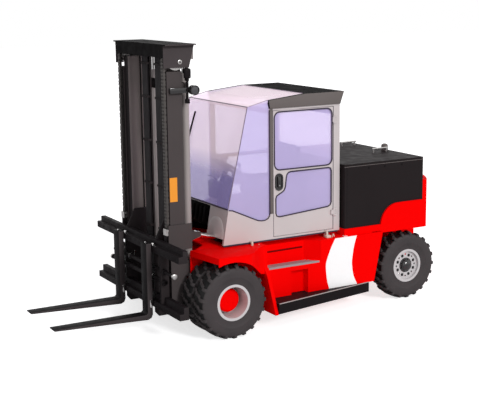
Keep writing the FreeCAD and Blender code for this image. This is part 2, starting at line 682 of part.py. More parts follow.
def bolt_holes(face, y):
    """A ring of cylinders through the rear disc, made as a polar pattern."""
    owner = DOC.addObject("PartDesign::Body", "BoltHoles")
    sketch = owner.newObject("Sketcher::SketchObject", "BoltHoleCircle")
    for feature in owner.Origin.OriginFeatures:
        if feature.Role == "YZ_Plane":
            sketch.AttachmentSupport = [(feature, "")]
    sketch.MapMode = "FlatFace"
    circle, hole = size("bolt_circle"), size("bolt_hole")
    sketch.addGeometry(Part.Circle(FreeCAD.Vector(0, circle, 0), FreeCAD.Vector(0, 0, 1), hole), False)
    sketch.addConstraint(Sketcher.Constraint("PointOnObject", 0, 3, -2))
    sketch.addConstraint(Sketcher.Constraint("DistanceY", -1, 1, 0, 3, circle))
    sketch.addConstraint(Sketcher.Constraint("Radius", 0, hole))
    sketch.setExpression("Constraints[1]", bound("bolt_circle"))
    sketch.setExpression("Constraints[2]", bound("bolt_hole"))
    pad = owner.newObject("PartDesign::Pad", "BoltHolePad")
    pad.Profile = sketch
    pad.setExpression("Length", bound("disc_wall * 3"))
    ring = owner.newObject("PartDesign::PolarPattern", "BoltHoleRing")
    ring.Originals = [pad]
    ring.Axis = (sketch, ["N_Axis"])
    ring.Angle = 360
    ring.setExpression("Occurrences", bound("bolt_count"))
    owner.Tip = ring
    place(owner, f"{face} - disc_wall * 2", along(y), "tyre_radius")
    return owner


def drive_axle():
    """Front axle housing with the drive unit between the frame plates."""
    tube = rod("AxleTube", "X", "axle_tube_radius", ("-axle_tube_end", "0", "tyre_radius"),
               "axle_tube_end * 2")
    unit = rod("DriveUnit", "X", "drive_unit_radius",
               ("-drive_unit_half", "drive_unit_y", "tyre_radius"),
               "drive_unit_half * 2")
    return fuse("DriveAxle", [tube, unit])


def frame():
    """Two long plates with a nose, cross plates, belly and floor, and the tilt pivot pins."""
    side = [
        ("frame_nose", "nose_bottom"),
        ("cross_plate_y", "frame_bottom"),
        ("frame_rear", "frame_bottom"),
        ("frame_rear", "panel_top"),
        ("tray_front - run_gap", "panel_top"),
        ("tray_front - run_gap", "deck_top - deck_plate"),
        ("frame_nose", "deck_top - deck_plate"),
    ]
    inside = "frame_half - frame_plate"
    left = plate("FramePlate", "YZ", side, inside, "frame_half")
    right = mirrored("FramePlateRight", left)
    across = (f"-({inside})", inside)
    front = box("FrontCross", across, ("cross_plate_y", "cross_plate_y + cross_plate"),
                ("frame_bottom", "tilt_base_z - tilt_barrel_radius * 2 - lug_plate * 2"))
    rear = box("RearCross", across, ("frame_rear - cross_plate", "frame_rear"),
               ("frame_bottom", "panel_top"))
    belly = box("Belly", across, ("cross_plate_y", "frame_rear"),
                ("frame_bottom", "frame_bottom + frame_skin"))
    shelf = box("Shelf", across, ("cross_plate_y", "frame_rear"),
                ("tilt_base_z - tilt_barrel_radius * 2 - lug_plate * 2",
                 "tilt_base_z - tilt_barrel_radius * 2 - lug_plate * 2 + frame_skin"))
    pin_start = "outer_half - outer_flange_depth"
    pin = rod("TiltPivotPin", "X", "mast_pin_radius", (pin_start, "mast_pivot_y", "mast_pivot_z"),
              f"{inside} - ({pin_start})")
    solid = fuse("FrameSolid", [left, right, front, rear, belly, shelf, pin,
                                mirrored("TiltPivotPinRight", pin)] + tilt_lugs()
                 + [steer_carrier()])
    hole = rod("AxleHole", "X", "axle_tube_radius + seat_gap",
               ("-frame_half - cross_plate", "0", "tyre_radius"), "(frame_half + cross_plate) * 2")
    relief = box("NoseRelief", ("-outer_half - side_plate", "outer_half + side_plate"),
                 ("frame_nose - cross_plate", "nose_relief"), ("nose_relief_low", "deck_top + cross_plate"))
    return cut("Frame", solid, [hole, relief])


def tilt_lugs():
    """Lugs on the shelf with a pin for the base of each tilt barrel."""
    shelf_top = "tilt_base_z - tilt_barrel_radius * 2 - lug_plate * 2 + frame_skin"
    lugs = []
    for label, side in (("Left", 1), ("Right", -1)):
        middle = f"({side}) * tilt_x"
        half = "tilt_eye_width / 2 + pin_gap * 4"
        for number, low, high in ((1, f"{middle} - ({half}) - lug_plate", f"{middle} - ({half})"),
                                  (2, f"{middle} + {half}", f"{middle} + {half} + lug_plate")):
            lugs.append(box(f"TiltLug{label}{number}", (low, high),
                            ("tilt_base_y - tilt_eye_radius", "tilt_base_y + tilt_eye_radius"),
                            (f"{shelf_top} - 1", "tilt_base_z + tilt_pin_radius * 1.5")))
        lugs.append(rod(f"TiltBasePin{label}", "X", "tilt_pin_radius",
                        (f"{middle} - ({half}) - lug_plate", "tilt_base_y", "tilt_base_z"),
                        f"({half} + lug_plate) * 2"))
    return lugs


def steer_carrier():
    """The block behind the frame that carries the steer axle, narrow between the wheels."""
    return box("SteerCarrier", ("-axle_carrier_half", "axle_carrier_half"),
               ("frame_rear - cross_plate", "wheel_base + beam_half_depth"),
               ("tyre_radius + beam_half_height + seat_gap", "weight_roof - seat_gap"))


def steer_axle():
    """Beam with two ears and a pivot pin at each end."""
    beam = box("SteerBeam", ("-beam_end", "beam_end"),
               (f"{REAR_AXLE} - beam_half_depth", f"{REAR_AXLE} + beam_half_depth"),
               ("tyre_radius - beam_half_height", "tyre_radius + beam_half_height"))
    pieces = [beam]
    low = "tyre_radius - yoke_inside / 2 - yoke_ear"
    for label, side in (("Left", 1), ("Right", -1)):
        middle = f"({side}) * king_pin_x"
        for level, foot in (("Low", low), ("High", "tyre_radius + yoke_inside / 2")):
            pieces.append(rod(f"Ear{level}{label}", "Z", "yoke_radius", (middle, REAR_AXLE, foot),
                              "yoke_ear"))
            inner = ("king_pin_x", "beam_end - yoke_ear")
            pair = (inner[1], inner[0]) if side > 0 else ("-king_pin_x", "-(beam_end - yoke_ear)")
            pieces.append(box(f"EarArm{level}{label}", pair,
                              (f"{REAR_AXLE} - yoke_arm", f"{REAR_AXLE} + yoke_arm"),
                              (foot, f"{foot} + yoke_ear")))
        pieces.append(rod(f"KingPin{label}", "Z", "king_pin_radius", (middle, REAR_AXLE, low),
                          "yoke_inside + yoke_ear * 2"))
        pair = (("beam_end - yoke_ear", "beam_end") if side > 0
                else ("-beam_end", "-(beam_end - yoke_ear)"))
        pieces.append(box(f"YokeBack{label}", pair,
                          (f"{REAR_AXLE} - yoke_arm", f"{REAR_AXLE} + yoke_arm"),
                          (low, "tyre_radius + yoke_inside / 2 + yoke_ear")))
    return fuse("SteerAxle", pieces)


def knuckle():
    """The left steering knuckle: a sleeve on the pivot pin and a stub axle."""
    height = "yoke_inside - pin_gap * 2"
    sleeve = rod("KnuckleSleeve", "Z", "yoke_radius - pin_gap * 4",
                 ("king_pin_x", REAR_AXLE, f"tyre_radius - ({height}) / 2"), height)
    face = f"rear_tyre_x + {RIM_HALF} - rear_disc_inset"
    spindle = rod("Spindle", "X", "spindle_radius", ("king_pin_x", REAR_AXLE, "tyre_radius"),
                  f"{face} - disc_wall - pin_gap - king_pin_x")
    solid = fuse("KnuckleSolid", [sleeve, spindle])
    bore = rod("KnuckleBore", "Z", "king_pin_radius + pin_gap",
               ("king_pin_x", REAR_AXLE, "tyre_radius - yoke_inside"), "yoke_inside * 2")
    return cut("Knuckle", solid, [bore])


def fender():
    """The left front fender: deck, side apron with the wheel arch, front apron and end plate."""
    apron = plate("Apron", "YZ", [
        ("fender_front", "fender_lip"),
        ("end_plate_front", "fender_lip"),
        ("end_plate_front", "end_plate_bottom"),
        ("end_plate_rear", "end_plate_bottom"),
        ("end_plate_rear", "deck_top - deck_plate"),
        ("fender_front", "deck_top - deck_plate"),
    ], "fender_half - fender_wall", "fender_half")
    front = plate("FenderFront", "XY", [
        ("frame_half", "frame_nose"),
        ("fender_half", "fender_front"),
        ("fender_half", "fender_front + fender_wall"),
        ("frame_half", "frame_nose + fender_wall"),
    ], "fender_lip + cross_plate", "deck_top - deck_plate")
    end = box("EndPlate", ("frame_half", "fender_half"), ("end_plate_front", "end_plate_rear"),
              ("end_plate_bottom", "deck_top - deck_plate"))
    deck = plate("FenderDeck", "XY", [
        ("frame_half", "frame_nose"),
        ("fender_half", "fender_front"),
        ("fender_half", "end_plate_front"),
        ("end_plate_x", "end_plate_rear"),
        ("frame_half", "end_plate_rear"),
    ], "deck_top - deck_plate", "deck_top")
    solid = fuse("FenderSolid", [apron, front, end, deck])
    arch = rod("Arch", "X", "arch_radius", ("frame_half - cross_plate", "0", "tyre_radius"),
               "fender_half - frame_half + cross_plate * 2")
    trim = plate("FenderTrim", "XY", [
        ("fender_half + cross_plate", "end_plate_front - fender_wall"),
        ("fender_half + cross_plate", "end_plate_rear + cross_plate"),
        ("end_plate_x - (fender_half - end_plate_x) * cross_plate / (end_plate_rear - end_plate_front)",
         "end_plate_rear + cross_plate"),
        ("fender_half", "end_plate_front - fender_wall"),
    ], "end_plate_bottom - cross_plate", "deck_top + cross_plate")
    return cut("Fender", solid, [arch, trim])


def front_deck():
    """Deck plate between the frame plates, open in the middle for the mast and tilt rods."""
    return plate("FrontDeck", "XY", [
        ("-frame_half", "mast_pivot_y"),
        ("-deck_step_x", "deck_step_front"),
        ("-deck_inner_x", "deck_middle_front"),
        ("deck_inner_x", "deck_middle_front"),
        ("deck_step_x", "deck_step_front"),
        ("frame_half", "mast_pivot_y"),
        ("frame_half", "deck_rear"),
        ("-frame_half", "deck_rear"),
    ], "deck_top - deck_plate + seat_gap", "deck_top")


def side_body():
    """The left side box behind the fender with the step niche, toe recess and rear lip."""
    block = box("SideBlock", ("frame_half", "panel_half"), ("end_plate_rear", "frame_rear"),
                ("panel_bottom", "panel_top"))
    lip = plate("SideLip", "YZ", [
        ("frame_rear - 1", "panel_bottom"),
        ("panel_rear_bottom", "panel_bottom"),
        ("panel_rear_top", "panel_top"),
        ("frame_rear - 1", "panel_top"),
    ], "panel_half - panel_skin", "panel_half")
    niche = plate("Niche", "XY", [
        ("panel_half + cross_plate", "end_plate_rear - cross_plate"),
        ("panel_half + cross_plate", "niche_rear + niche_slant * cross_plate / (panel_half - niche_back)"),
        ("niche_back", "niche_rear - niche_slant"),
        ("niche_back", "end_plate_rear - cross_plate"),
    ], "step_niche_bottom + tread_plate", "panel_top + cross_plate")
    toe = box("ToeRecess", ("panel_half - toe_depth", "panel_half + cross_plate"),
              ("toe_front", "toe_rear"), ("panel_bottom - cross_plate", "toe_top"))
    seat = tread_outline("TreadSeat", "seat_gap", "step_niche_bottom", "step_niche_bottom + tread_plate * 2")
    return cut("SideBody", fuse("SideSolid", [block, lip]), [niche, toe, seat])


def tread_outline(name, gap, low, high):
    """Outline of the upper step's tread with a clearance all round."""
    return plate(name, "XY", [
        (f"niche_back - ({gap})", f"end_plate_rear + tread_plate - ({gap})"),
        (f"panel_half + ({gap})", f"end_plate_rear + tread_plate - ({gap})"),
        (f"panel_half + ({gap})", f"niche_rear - tread_plate + ({gap}) * 3"),
        (f"niche_back - ({gap})", f"niche_rear - niche_slant - tread_plate + ({gap}) * 3"),
    ], low, high)


def lower_step():
    """The tapered black step below the left side panel."""
    return plate("LowerStep", "XY", [
        ("low_step_inner", "end_plate_rear + seat_gap"),
        ("end_plate_x", "end_plate_rear + seat_gap"),
        ("low_step_rear_x", "low_step_rear"),
        ("low_step_inner", "low_step_rear"),
    ], "low_step_bottom", "panel_bottom - seat_gap")


def battery_tray():
    """Red tray under the battery with a low rim round it."""
    outside = box("TrayOutside", ("-tray_half", "tray_half"), ("tray_front", "weight_front"),
                  ("panel_top + seat_gap", "tray_rim"))
    inside = box("TrayInside", ("-hood_half - seat_gap", "hood_half + seat_gap"),
                 ("hood_front - seat_gap", "weight_front + cross_plate"),
                 ("tray_floor", "tray_rim + cross_plate"))
    return cut("BatteryTray", outside, [inside])


def counterweight():
    """Casting behind the battery: rounded rear, raised crest, swept sides and a keel between the wheels."""
    plan = box("WeightPlan", ("-tray_half", "tray_half"),
               ("weight_front + seat_gap", "weight_rear + cross_plate"), ("weight_roof", "weight_top"))
    crest = box("WeightCrest", ("-crest_half", "crest_half"),
                ("hood_rear + seat_gap", "weight_rear + cross_plate"), ("weight_top - 1", "weight_crest"))
    keel = box("WeightKeel", ("-keel_half", "keel_half"), ("keel_front", "weight_rear + cross_plate"),
               ("keel_bottom", "weight_roof + 1"))
    block = fuse("WeightBlock", [plan, crest, keel])
    bulge = "(weight_rear - weight_side_rear)"
    radius = f"(tray_half * tray_half / {bulge} + {bulge}) / 2"
    rear = rod("WeightRound", "Z", radius, ("0", f"weight_rear - {radius}", "0"), "hood_top")
    rounded = common("WeightRounded", block, rear)
    pocket = box("WeightPocket", ("-hood_half - seat_gap", "hood_half + seat_gap"),
                 ("weight_front - cross_plate", "hood_rear + seat_gap"), ("tray_floor", "hood_top"))
    corner = box("SweepCorner", ("-tray_half - cross_plate", "tray_half + cross_plate"),
                 ("weight_front - cross_plate", "weight_front + sweep_radius"),
                 ("weight_top - sweep_radius", "hood_top"))
    sweep = rod("Sweep", "X", "sweep_radius",
                ("-tray_half - cross_plate", "weight_front + sweep_radius", "weight_top - sweep_radius"),
                "(tray_half + cross_plate) * 2")
    jaw = box("TowJaw", ("-keel_half - cross_plate", "keel_half + cross_plate"),
              ("weight_rear - tow_jaw_depth", "weight_rear + cross_plate"),
              ("tow_jaw_z - tow_jaw_gap / 2", "tow_jaw_z + tow_jaw_gap / 2"))
    pin_hole = rod("TowPinHole", "Z", "tow_pin_radius + pin_gap",
                   ("0", "weight_rear - tow_jaw_depth / 2", "keel_bottom - 1"),
                   "tow_jaw_z + tow_jaw_gap * 1.5 - keel_bottom + 1")
    edge = cut("SweepEdge", corner, [sweep])
    return cut("Counterweight", rounded, [pocket, edge, jaw, pin_hole])


def hood():
    """Four black walls round the battery, with the fixed ears and pins of the lid's hinges."""
    outside = box("HoodOutside", ("-hood_half", "hood_half"), ("hood_front", "hood_rear"),
                  ("tray_floor + seat_gap", "hood_top - lid_depth - seat_gap"))
    inside = box("HoodInside", ("-hood_half + hood_wall", "hood_half - hood_wall"),
                 ("hood_front + hood_wall", "hood_rear - hood_wall"), ("tray_floor - 1", "hood_top"))
    walls = cut("HoodWalls", outside, [inside])
    reach = "lid_hinge_length / 2 + pin_gap"
    ears = [rod("LidPin", "X", "lid_hinge_pin",
                (f"lid_hinge_x - ({reach}) - 1", "lid_hinge_y", "lid_hinge_z"), f"({reach}) * 2 + 2")]
    for number, low in ((1, f"lid_hinge_x - ({reach}) - lid_hinge_length"), (2, f"lid_hinge_x + {reach}")):
        ears.append(rod(f"LidEar{number}", "X", "lid_hinge_boss", (low, "lid_hinge_y", "lid_hinge_z"),
                        "lid_hinge_length"))
        ears.append(box(f"LidEarFoot{number}", (low, f"{low} + lid_hinge_length"),
                        ("lid_hinge_y - lid_hinge_boss", "hood_front + 1"),
                        ("hood_top - lid_depth * 2", "hood_top - lid_depth - seat_gap")))
        ears.append(box(f"LidEarNeck{number}", (low, f"{low} + lid_hinge_length"),
                        ("lid_hinge_y - lid_hinge_boss", "lid_hinge_y + lid_hinge_pin"),
                        ("hood_top - lid_depth - 1", "lid_hinge_z")))
    left = fuse("LidEars", ears)
    return fuse("Hood", [walls, left, mirrored("LidEarsRight", left)])


def hood_lid():
    """Flat lid with a rim that stands on the hood's walls, and the bosses of its hinges."""
    outside = box("LidOutside", ("-hood_half", "hood_half"), ("hood_front", "hood_rear"),
                  ("hood_top - lid_depth", "hood_top"))
    inside = box("LidInside", ("-hood_half + hood_wall", "hood_half - hood_wall"),
                 ("hood_front + hood_wall", "hood_rear - hood_wall"),
                 ("hood_top - lid_depth - 1", "hood_top - hood_wall"))
    boss = rod("LidBoss", "X", "lid_hinge_boss",
               ("lid_hinge_x - lid_hinge_length / 2", "lid_hinge_y", "lid_hinge_z"), "lid_hinge_length")
    leaf = box("LidLeaf", ("lid_hinge_x - lid_hinge_length / 2", "lid_hinge_x + lid_hinge_length / 2"),
               ("lid_hinge_y", "hood_front + 1"), ("lid_hinge_z - lid_hinge_boss / 2", "lid_hinge_z"))
    left = fuse("LidHinge", [boss, leaf])
    solid = fuse("LidSolid", [cut("LidShell", outside, [inside]), left, mirrored("LidHingeRight", left)])
    bore = rod("LidBore", "X", "lid_hinge_pin + pin_gap", ("-hood_half", "lid_hinge_y", "lid_hinge_z"),
               "hood_half * 2")
    return cut("HoodLid", solid, [bore])


def window_foot(inset):
    """Lower edge of the front side window, from the windscreen to the window's rear edge."""
    return [
        ("sill_front", f"sill_height + ({inset})"),
        ("window_start", f"window_start_z + ({inset})"),
        ("sag_front", f"sag_height + ({inset})"),
        ("dip_front", f"glass_dip + ({inset})"),
        ("dip_rear", f"glass_dip + ({inset})"),
        (f"window_rear - ({inset})", f"dip_rise + ({inset})"),
    ]


def cab_side():
    """The left side wall: front panel below its window, door frame, sill and rear post."""
    wall = plate("SideWall", "YZ", [
        ("cab_front", "cab_bottom"),
        ("cab_rear", "cab_bottom"),
        ("cab_rear", "side_top"),
        ("window_rear", "side_top"),
    ] + window_foot("0")[::-1], "cab_half - cab_wall", "cab_half")
    opening = plate("DoorOpening", "YZ", [
        ("door_front", "door_bottom"),
        ("door_rear", "door_bottom"),
        ("door_rear", "door_top"),
        ("door_front", "door_top"),
    ], "cab_half - cab_wall - cross_plate", "cab_half + cross_plate")
    return fuse("CabSide", [cut("CabSideWall", wall, [opening])] + hinge_ears())


def hinge_ears():
    """Fixed ears and pins of the left door's two hinges."""
    pieces = []
    for label, foot in (("Low", "hinge_low"), ("High", "hinge_high")):
        pieces.append(rod(f"HingePin{label}", "Z", "hinge_radius", ("hinge_x", "door_rear", foot),
                          "hinge_height"))
        for level, low in (("Foot", foot), ("Head", f"{foot} + hinge_height - hinge_ear")):
            pieces.append(rod(f"HingeEar{label}{level}", "Z", "hinge_boss", ("hinge_x", "door_rear", low),
                              "hinge_ear"))
            pieces.append(box(f"HingeLeaf{label}{level}", ("cab_half - 1", "hinge_x + hinge_radius"),
                              ("door_rear + hinge_radius / 2", "door_rear + hinge_leaf"),
                              (low, f"{low} + hinge_ear")))
    return pieces


def hinge_bosses():
    """Bosses and leaves on the left door that turn on the hinge pins."""
    pieces = []
    bores = []
    for label, foot in (("Low", "hinge_low"), ("High", "hinge_high")):
        low = f"{foot} + hinge_ear + pin_gap"
        high = f"{foot} + hinge_height - hinge_ear - pin_gap"
        pieces.append(rod(f"HingeBoss{label}", "Z", "hinge_boss", ("hinge_x", "door_rear", low),
                          f"{high} - ({low})"))
        pieces.append(box(f"DoorLeafPlate{label}", ("cab_half - 1", "hinge_x + hinge_radius"),
                          ("door_rear - hinge_leaf", "door_rear - hinge_radius / 2"), (low, high)))
        bores.append(rod(f"HingeBore{label}", "Z", "hinge_radius + pin_gap",
                         ("hinge_x", "door_rear", f"{foot} - hinge_ear"), "hinge_height + hinge_ear * 2"))
    return pieces, bores


def front_side_pane():
    """The pane between the windscreen's edge and the door's front post, up to the roof's glass."""
    foot = "screen_top_front + glass_wall * 2"
    rise = f"(roof_top - glass_wall - screen_top) / (roof_solid_front - ({foot}))"
    return plate("SideGlass", "YZ", window_foot("seat_gap") + [
        ("window_rear - seat_gap", "side_top"),
        ("roof_front - seat_gap", f"screen_top + {rise} * (roof_front - ({foot}))"),
        (foot, "screen_top"),
        ("screen_top_front", "screen_top"),
    ], "cab_half - cab_wall / 2 - glass_wall / 2", "cab_half - cab_wall / 2 + glass_wall / 2")


def cab_shell():
    """Sides, rear wall, floor, front wall below the windscreen and roof frame in one welded shell."""
    left = cab_side()
    right = mirrored("CabSideRight", left)
    inside = "cab_half - cab_wall"
    across = (f"-({inside})", inside)
    back = box("CabBack", across, ("cab_rear - cab_wall", "cab_rear"), ("cab_bottom", "side_top"))
    back_hole = box("BackWindow", ("-cab_half + pillar_width * 2", "cab_half - pillar_width * 2"),
                    ("cab_rear - cab_wall * 2", "cab_rear + cab_wall"),
                    ("hood_top + pillar_width", "side_top - pillar_width"))
    back = cut("CabBackWall", back, [back_hole])
    floor = plate("CabFloor", "YZ", [
        ("floor_front", "cab_bottom + toe_board_rise - floor_plate"),
        ("floor_knee", "cab_bottom"),
        ("cab_rear - cab_wall", "cab_bottom"),
        ("cab_rear - cab_wall", "cab_bottom + floor_plate"),
        ("floor_knee", "cab_bottom + floor_plate"),
        ("floor_front", "cab_bottom + toe_board_rise"),
    ], f"-({inside})", inside)
    slope = "(sill_front - cab_front) / (sill_height - cab_bottom)"
    low = f"cab_front + {slope} * (toe_board_rise - floor_plate)"
    front = plate("CabFrontWall", "YZ", [
        (low, "cab_bottom + toe_board_rise - floor_plate"),
        (f"{low} + cab_wall", "cab_bottom + toe_board_rise - floor_plate"),
        ("sill_front + cab_wall", "sill_height"),
        ("sill_front", "sill_height"),
    ], f"-({inside})", inside)
    header = box("Header", across, ("roof_front", "roof_front + pillar_width"),
                 ("side_top - pillar_width", "side_top"))
    return fuse("CabShell", [left, right, back, floor, front, header])


def windscreen():
    """Sloping front glass between the sill and the roof's glass."""
    return plate("Windscreen", "YZ", [
        ("sill_front", "sill_height + seat_gap"),
        ("sill_front + glass_wall", "sill_height + seat_gap"),
        ("screen_top_front + glass_wall", "screen_top"),
        ("screen_top_front", "screen_top"),
    ], "-(cab_half - cab_wall / 2 - glass_wall / 2 - seat_gap)",
        "cab_half - cab_wall / 2 - glass_wall / 2 - seat_gap")


def roof_glass():
    """Tinted glass that rises from the windscreen's top to the black roof."""
    whole = plate("RoofGlassWhole", "YZ", [
        ("screen_top_front", "screen_top + seat_gap"),
        ("screen_top_front + glass_wall * 2", "screen_top + seat_gap"),
        ("roof_solid_front - seat_gap", "roof_top - glass_wall"),
        ("roof_solid_front - seat_gap", "roof_top"),
        ("roof_front", "roof_top - roof_crown"),
    ], "-cab_half", "cab_half")
    behind = ("roof_front - seat_gap", "roof_solid_front + seat_gap")
    height = ("screen_top", "roof_top + roof_skin")
    return cut("RoofGlass", whole, [
        box("FasciaRoomLeft", ("cab_half - cab_wall - seat_gap", "roof_half"), behind, height),
        box("FasciaRoomRight", ("-roof_half", "-(cab_half - cab_wall - seat_gap)"), behind, height),
    ])


def cab_roof():
    """Black roof behind the glass with its grey side fascias."""
    top = plate("RoofTop", "YZ", [
        ("roof_solid_front", "roof_top - roof_skin"),
        ("roof_rear - roof_slant", "roof_top - roof_skin"),
        ("roof_rear", "roof_top"),
        ("roof_solid_front", "roof_top"),
    ], "-roof_half", "roof_half")
    fascia = plate("Fascia", "YZ", [
        ("roof_front + roof_slant", "side_top + seat_gap"),
        ("roof_rear - roof_slant * 3", "side_top + seat_gap"),
        ("roof_rear", "roof_top"),
        ("roof_solid_front", "roof_top"),
        ("roof_front", "roof_top - roof_crown"),
    ], "cab_half - cab_wall", "roof_half")
    rear = box("RoofRear", ("-roof_half", "roof_half"), ("cab_rear - cab_wall", "cab_rear"),
               ("side_top + seat_gap", "roof_top - roof_skin + 1"))
    return fuse("CabRoof", [top, fascia, mirrored("FasciaRight", fascia), rear])


def cab_glass():
    """Windscreen, roof glass, front side windows on both sides and the rear window."""
    left = front_side_pane()
    rear_half = "cab_half - pillar_width * 2 - seat_gap"
    rear = box("RearGlass", (f"-({rear_half})", rear_half),
               ("cab_rear - cab_wall / 2 - glass_wall", "cab_rear - cab_wall / 2"),
               ("hood_top + pillar_width + seat_gap", "side_top - pillar_width - seat_gap"))
    return group("CabGlass", [windscreen(), roof_glass(), left, mirrored("SideGlassRight", left), rear])


def door():
    """The left door's frame with two windows and a lower panel, and its two panes."""
    inner = "cab_half - cab_wall"
    leaf = plate("DoorLeaf", "YZ", [
        ("door_front + door_gap", "door_bottom + door_gap"),
        ("door_rear - door_gap", "door_bottom + door_gap"),
        ("door_rear - door_gap", "door_top - door_gap"),
        ("door_front + door_gap", "door_top - door_gap"),
    ], inner, "cab_half")
    low = f"{inner} - cross_plate"
    high = "cab_half + cross_plate"
    bosses, bores = hinge_bosses()
    frame_piece = cut("DoorFrame", fuse("DoorWithBosses", [leaf] + bosses), [
        upper_window("DoorUpperOpening", "0", low, high),
        plate("DoorLowerOpening", "YZ", lower_window("0"), low, high),
    ] + bores)
    low = "cab_half - cab_wall / 2 - glass_wall / 2"
    high = "cab_half - cab_wall / 2 + glass_wall / 2"
    panes = group("DoorPanes", [
        upper_window("DoorUpperPane", "seat_gap", low, high),
        plate("DoorLowerPane", "YZ", lower_window("seat_gap"), low, high),
    ])
    return frame_piece, panes


def upper_window(name, inset, low, high):
    """The door's upper window with rounded corners, or its pane."""
    front, rear = f"door_front + door_gap + door_post + {inset}", f"door_rear - door_gap - door_post - {inset}"
    foot, head = f"belt_high + {inset}", f"door_top - door_gap - door_post / 2 - {inset}"
    corner = "pane_corner"
    pieces = [
        box(f"{name}Tall", (low, high), (f"{front} + {corner}", f"{rear} - {corner}"), (foot, head)),
        box(f"{name}Long", (low, high), (front, rear), (f"{foot} + {corner}", f"{head} - {corner}")),
    ]
    for side, y in (("Front", f"{front} + {corner}"), ("Rear", f"{rear} - {corner}")):
        for level, z in (("Foot", f"{foot} + {corner}"), ("Head", f"{head} - {corner}")):
            pieces.append(rod(f"{name}{side}{level}", "X", corner, (low, y, z), f"({high}) - ({low})"))
    return fuse(name, pieces)


def lower_window(inset):
    """Outline of the door's lower window round the latch panel, or of its pane."""
    rear_foot = "door_glass_low + low_pane_rise"
    return [
        (f"low_pane_front + low_pane_curve + {inset} / 2", f"door_glass_low + {inset}"),
        (f"low_pane_rear - low_pane_curve - {inset} / 2", f"{rear_foot} + {inset}"),
        (f"low_pane_rear - {inset}", f"{rear_foot} + low_pane_curve + {inset} / 2"),
        (f"low_pane_rear - {inset}", f"belt_low - low_pane_curve * 0.6 - {inset} / 2"),
        (f"low_pane_rear - low_pane_curve * 0.6 - {inset} / 2", f"belt_low - {inset}"),
        (f"latch_rear + latch_slant + {inset}", f"belt_low - {inset}"),
        (f"latch_rear + {inset}", f"belt_low - low_pane_curve - {inset} / 2"),
        (f"latch_rear - latch_slant / 2 + {inset}", f"latch_shelf - {inset}"),
        (f"low_pane_front + low_pane_curve + {inset}", f"latch_foot + low_pane_curve - {inset}"),
        (f"low_pane_front + {inset}", f"latch_foot - {inset} / 2"),
        (f"low_pane_front + {inset}", f"door_glass_low + low_pane_curve + {inset} / 2"),
    ]


def cab_mounts():
    """Four feet between the cab and the chassis."""
    pieces = []
    for label, where, low in (("Front", "cab_mount_front", "deck_top"),
                              ("Rear", "cab_mount_rear", "panel_top")):
        pieces.append(rod(f"CabMount{label}", "Z", "cab_mount_radius", ("cab_half - cab_wall", where,
                                                                        f"{low} + seat_gap"),
                          f"cab_bottom - {low} - seat_gap * 2"))
    return group("CabMounts", pieces + [mirrored(piece.Name + "Right", piece) for piece in pieces])


def seat():
    """Seat cushion and back rest as plain pads."""
    cushion = box("SeatCushion", ("-seat_half", "seat_half"), ("seat_front", "seat_rear"),
                  ("seat_top - seat_thick", "seat_top"))
    rest = plate("BackRest", "YZ", [
        ("seat_rear - seat_thick", "seat_top + seat_gap"),
        ("seat_rear", "seat_top + seat_gap"),
        ("seat_rear + seat_thick * 0.7", "back_rest_top"),
        ("seat_rear - seat_thick * 0.1", "back_rest_top"),
    ], "-seat_half", "seat_half")
    return group("Seat", [cushion, rest])


def seat_base():
    """Box that carries the seat."""
    return box("SeatBase", ("-seat_base_half", "seat_base_half"),
               ("seat_front + seat_thick / 2", "seat_rear + seat_thick"),
               ("cab_bottom + floor_plate + seat_gap", "seat_top - seat_thick - seat_gap"))


def steering_wheel():
    """Steering wheel on its column."""
    ring = DOC.addObject("Part::Torus", "WheelRing")
    ring.setExpression("Radius1", bound("wheel_rim_radius"))
    ring.setExpression("Radius2", bound("wheel_tube"))
    place(ring, "0", along("column_y"), "column_top")
    hub = rod("WheelBoss", "Z", "column_radius", ("0", "column_y", "column_top - wheel_tube * 2"),
              "wheel_tube * 3")
    spoke = box("WheelSpoke", ("-wheel_rim_radius", "wheel_rim_radius"),
                ("column_y - wheel_tube", "column_y + wheel_tube"),
                ("column_top - wheel_tube / 2", "column_top + wheel_tube / 2"))
    rise = "(toe_board_rise - floor_plate) / (floor_knee - floor_front)"
    foot = f"cab_bottom + floor_plate + {rise} * (floor_knee - column_y + column_radius * 0.8) + seat_gap"
    column = rod("Column", "Z", "column_radius * 0.8", ("0", "column_y", foot), f"column_top - ({foot})")
    return fuse("SteeringWheel", [ring, hub, spoke, column])


def outer_rail():
    """The left outer rail: a web at its outer face and two flanges that open inwards."""
    inner = "outer_half - outer_flange_depth"
    whole = box("OuterRailWhole", (inner, "outer_half"), ("outer_front", "outer_rear"),
                ("outer_bottom", "outer_top"))
    hollow = box("OuterRailHollow", (f"{inner} - 1", "outer_half - rail_web"),
                 ("outer_front + rail_flange", "outer_rear - rail_flange"),
                 ("outer_bottom - 1", "outer_top + 1"))
    return cut("OuterRail", whole, [hollow])


def inner_rail():
    """The left inner rail: a web between two flanges, with the carriage's rollers on its inner side."""
    inner = "inner_half - inner_depth"
    return plate("InnerRail", "XY", [
        (inner, "inner_front"),
        ("inner_half", "inner_front"),
        ("inner_half", "inner_front + rail_flange"),
        ("inner_web", "inner_front + rail_flange"),
        ("inner_web", "inner_rear - rail_flange"),
        ("inner_half", "inner_rear - rail_flange"),
        ("inner_half", "inner_rear"),
        (inner, "inner_rear"),
        (inner, "inner_rear - rail_flange"),
        ("inner_web - rail_web", "inner_rear - rail_flange"),
        ("inner_web - rail_web", "inner_front + rail_flange"),
        (inner, "inner_front + rail_flange"),
    ], "inner_bottom", "inner_top")


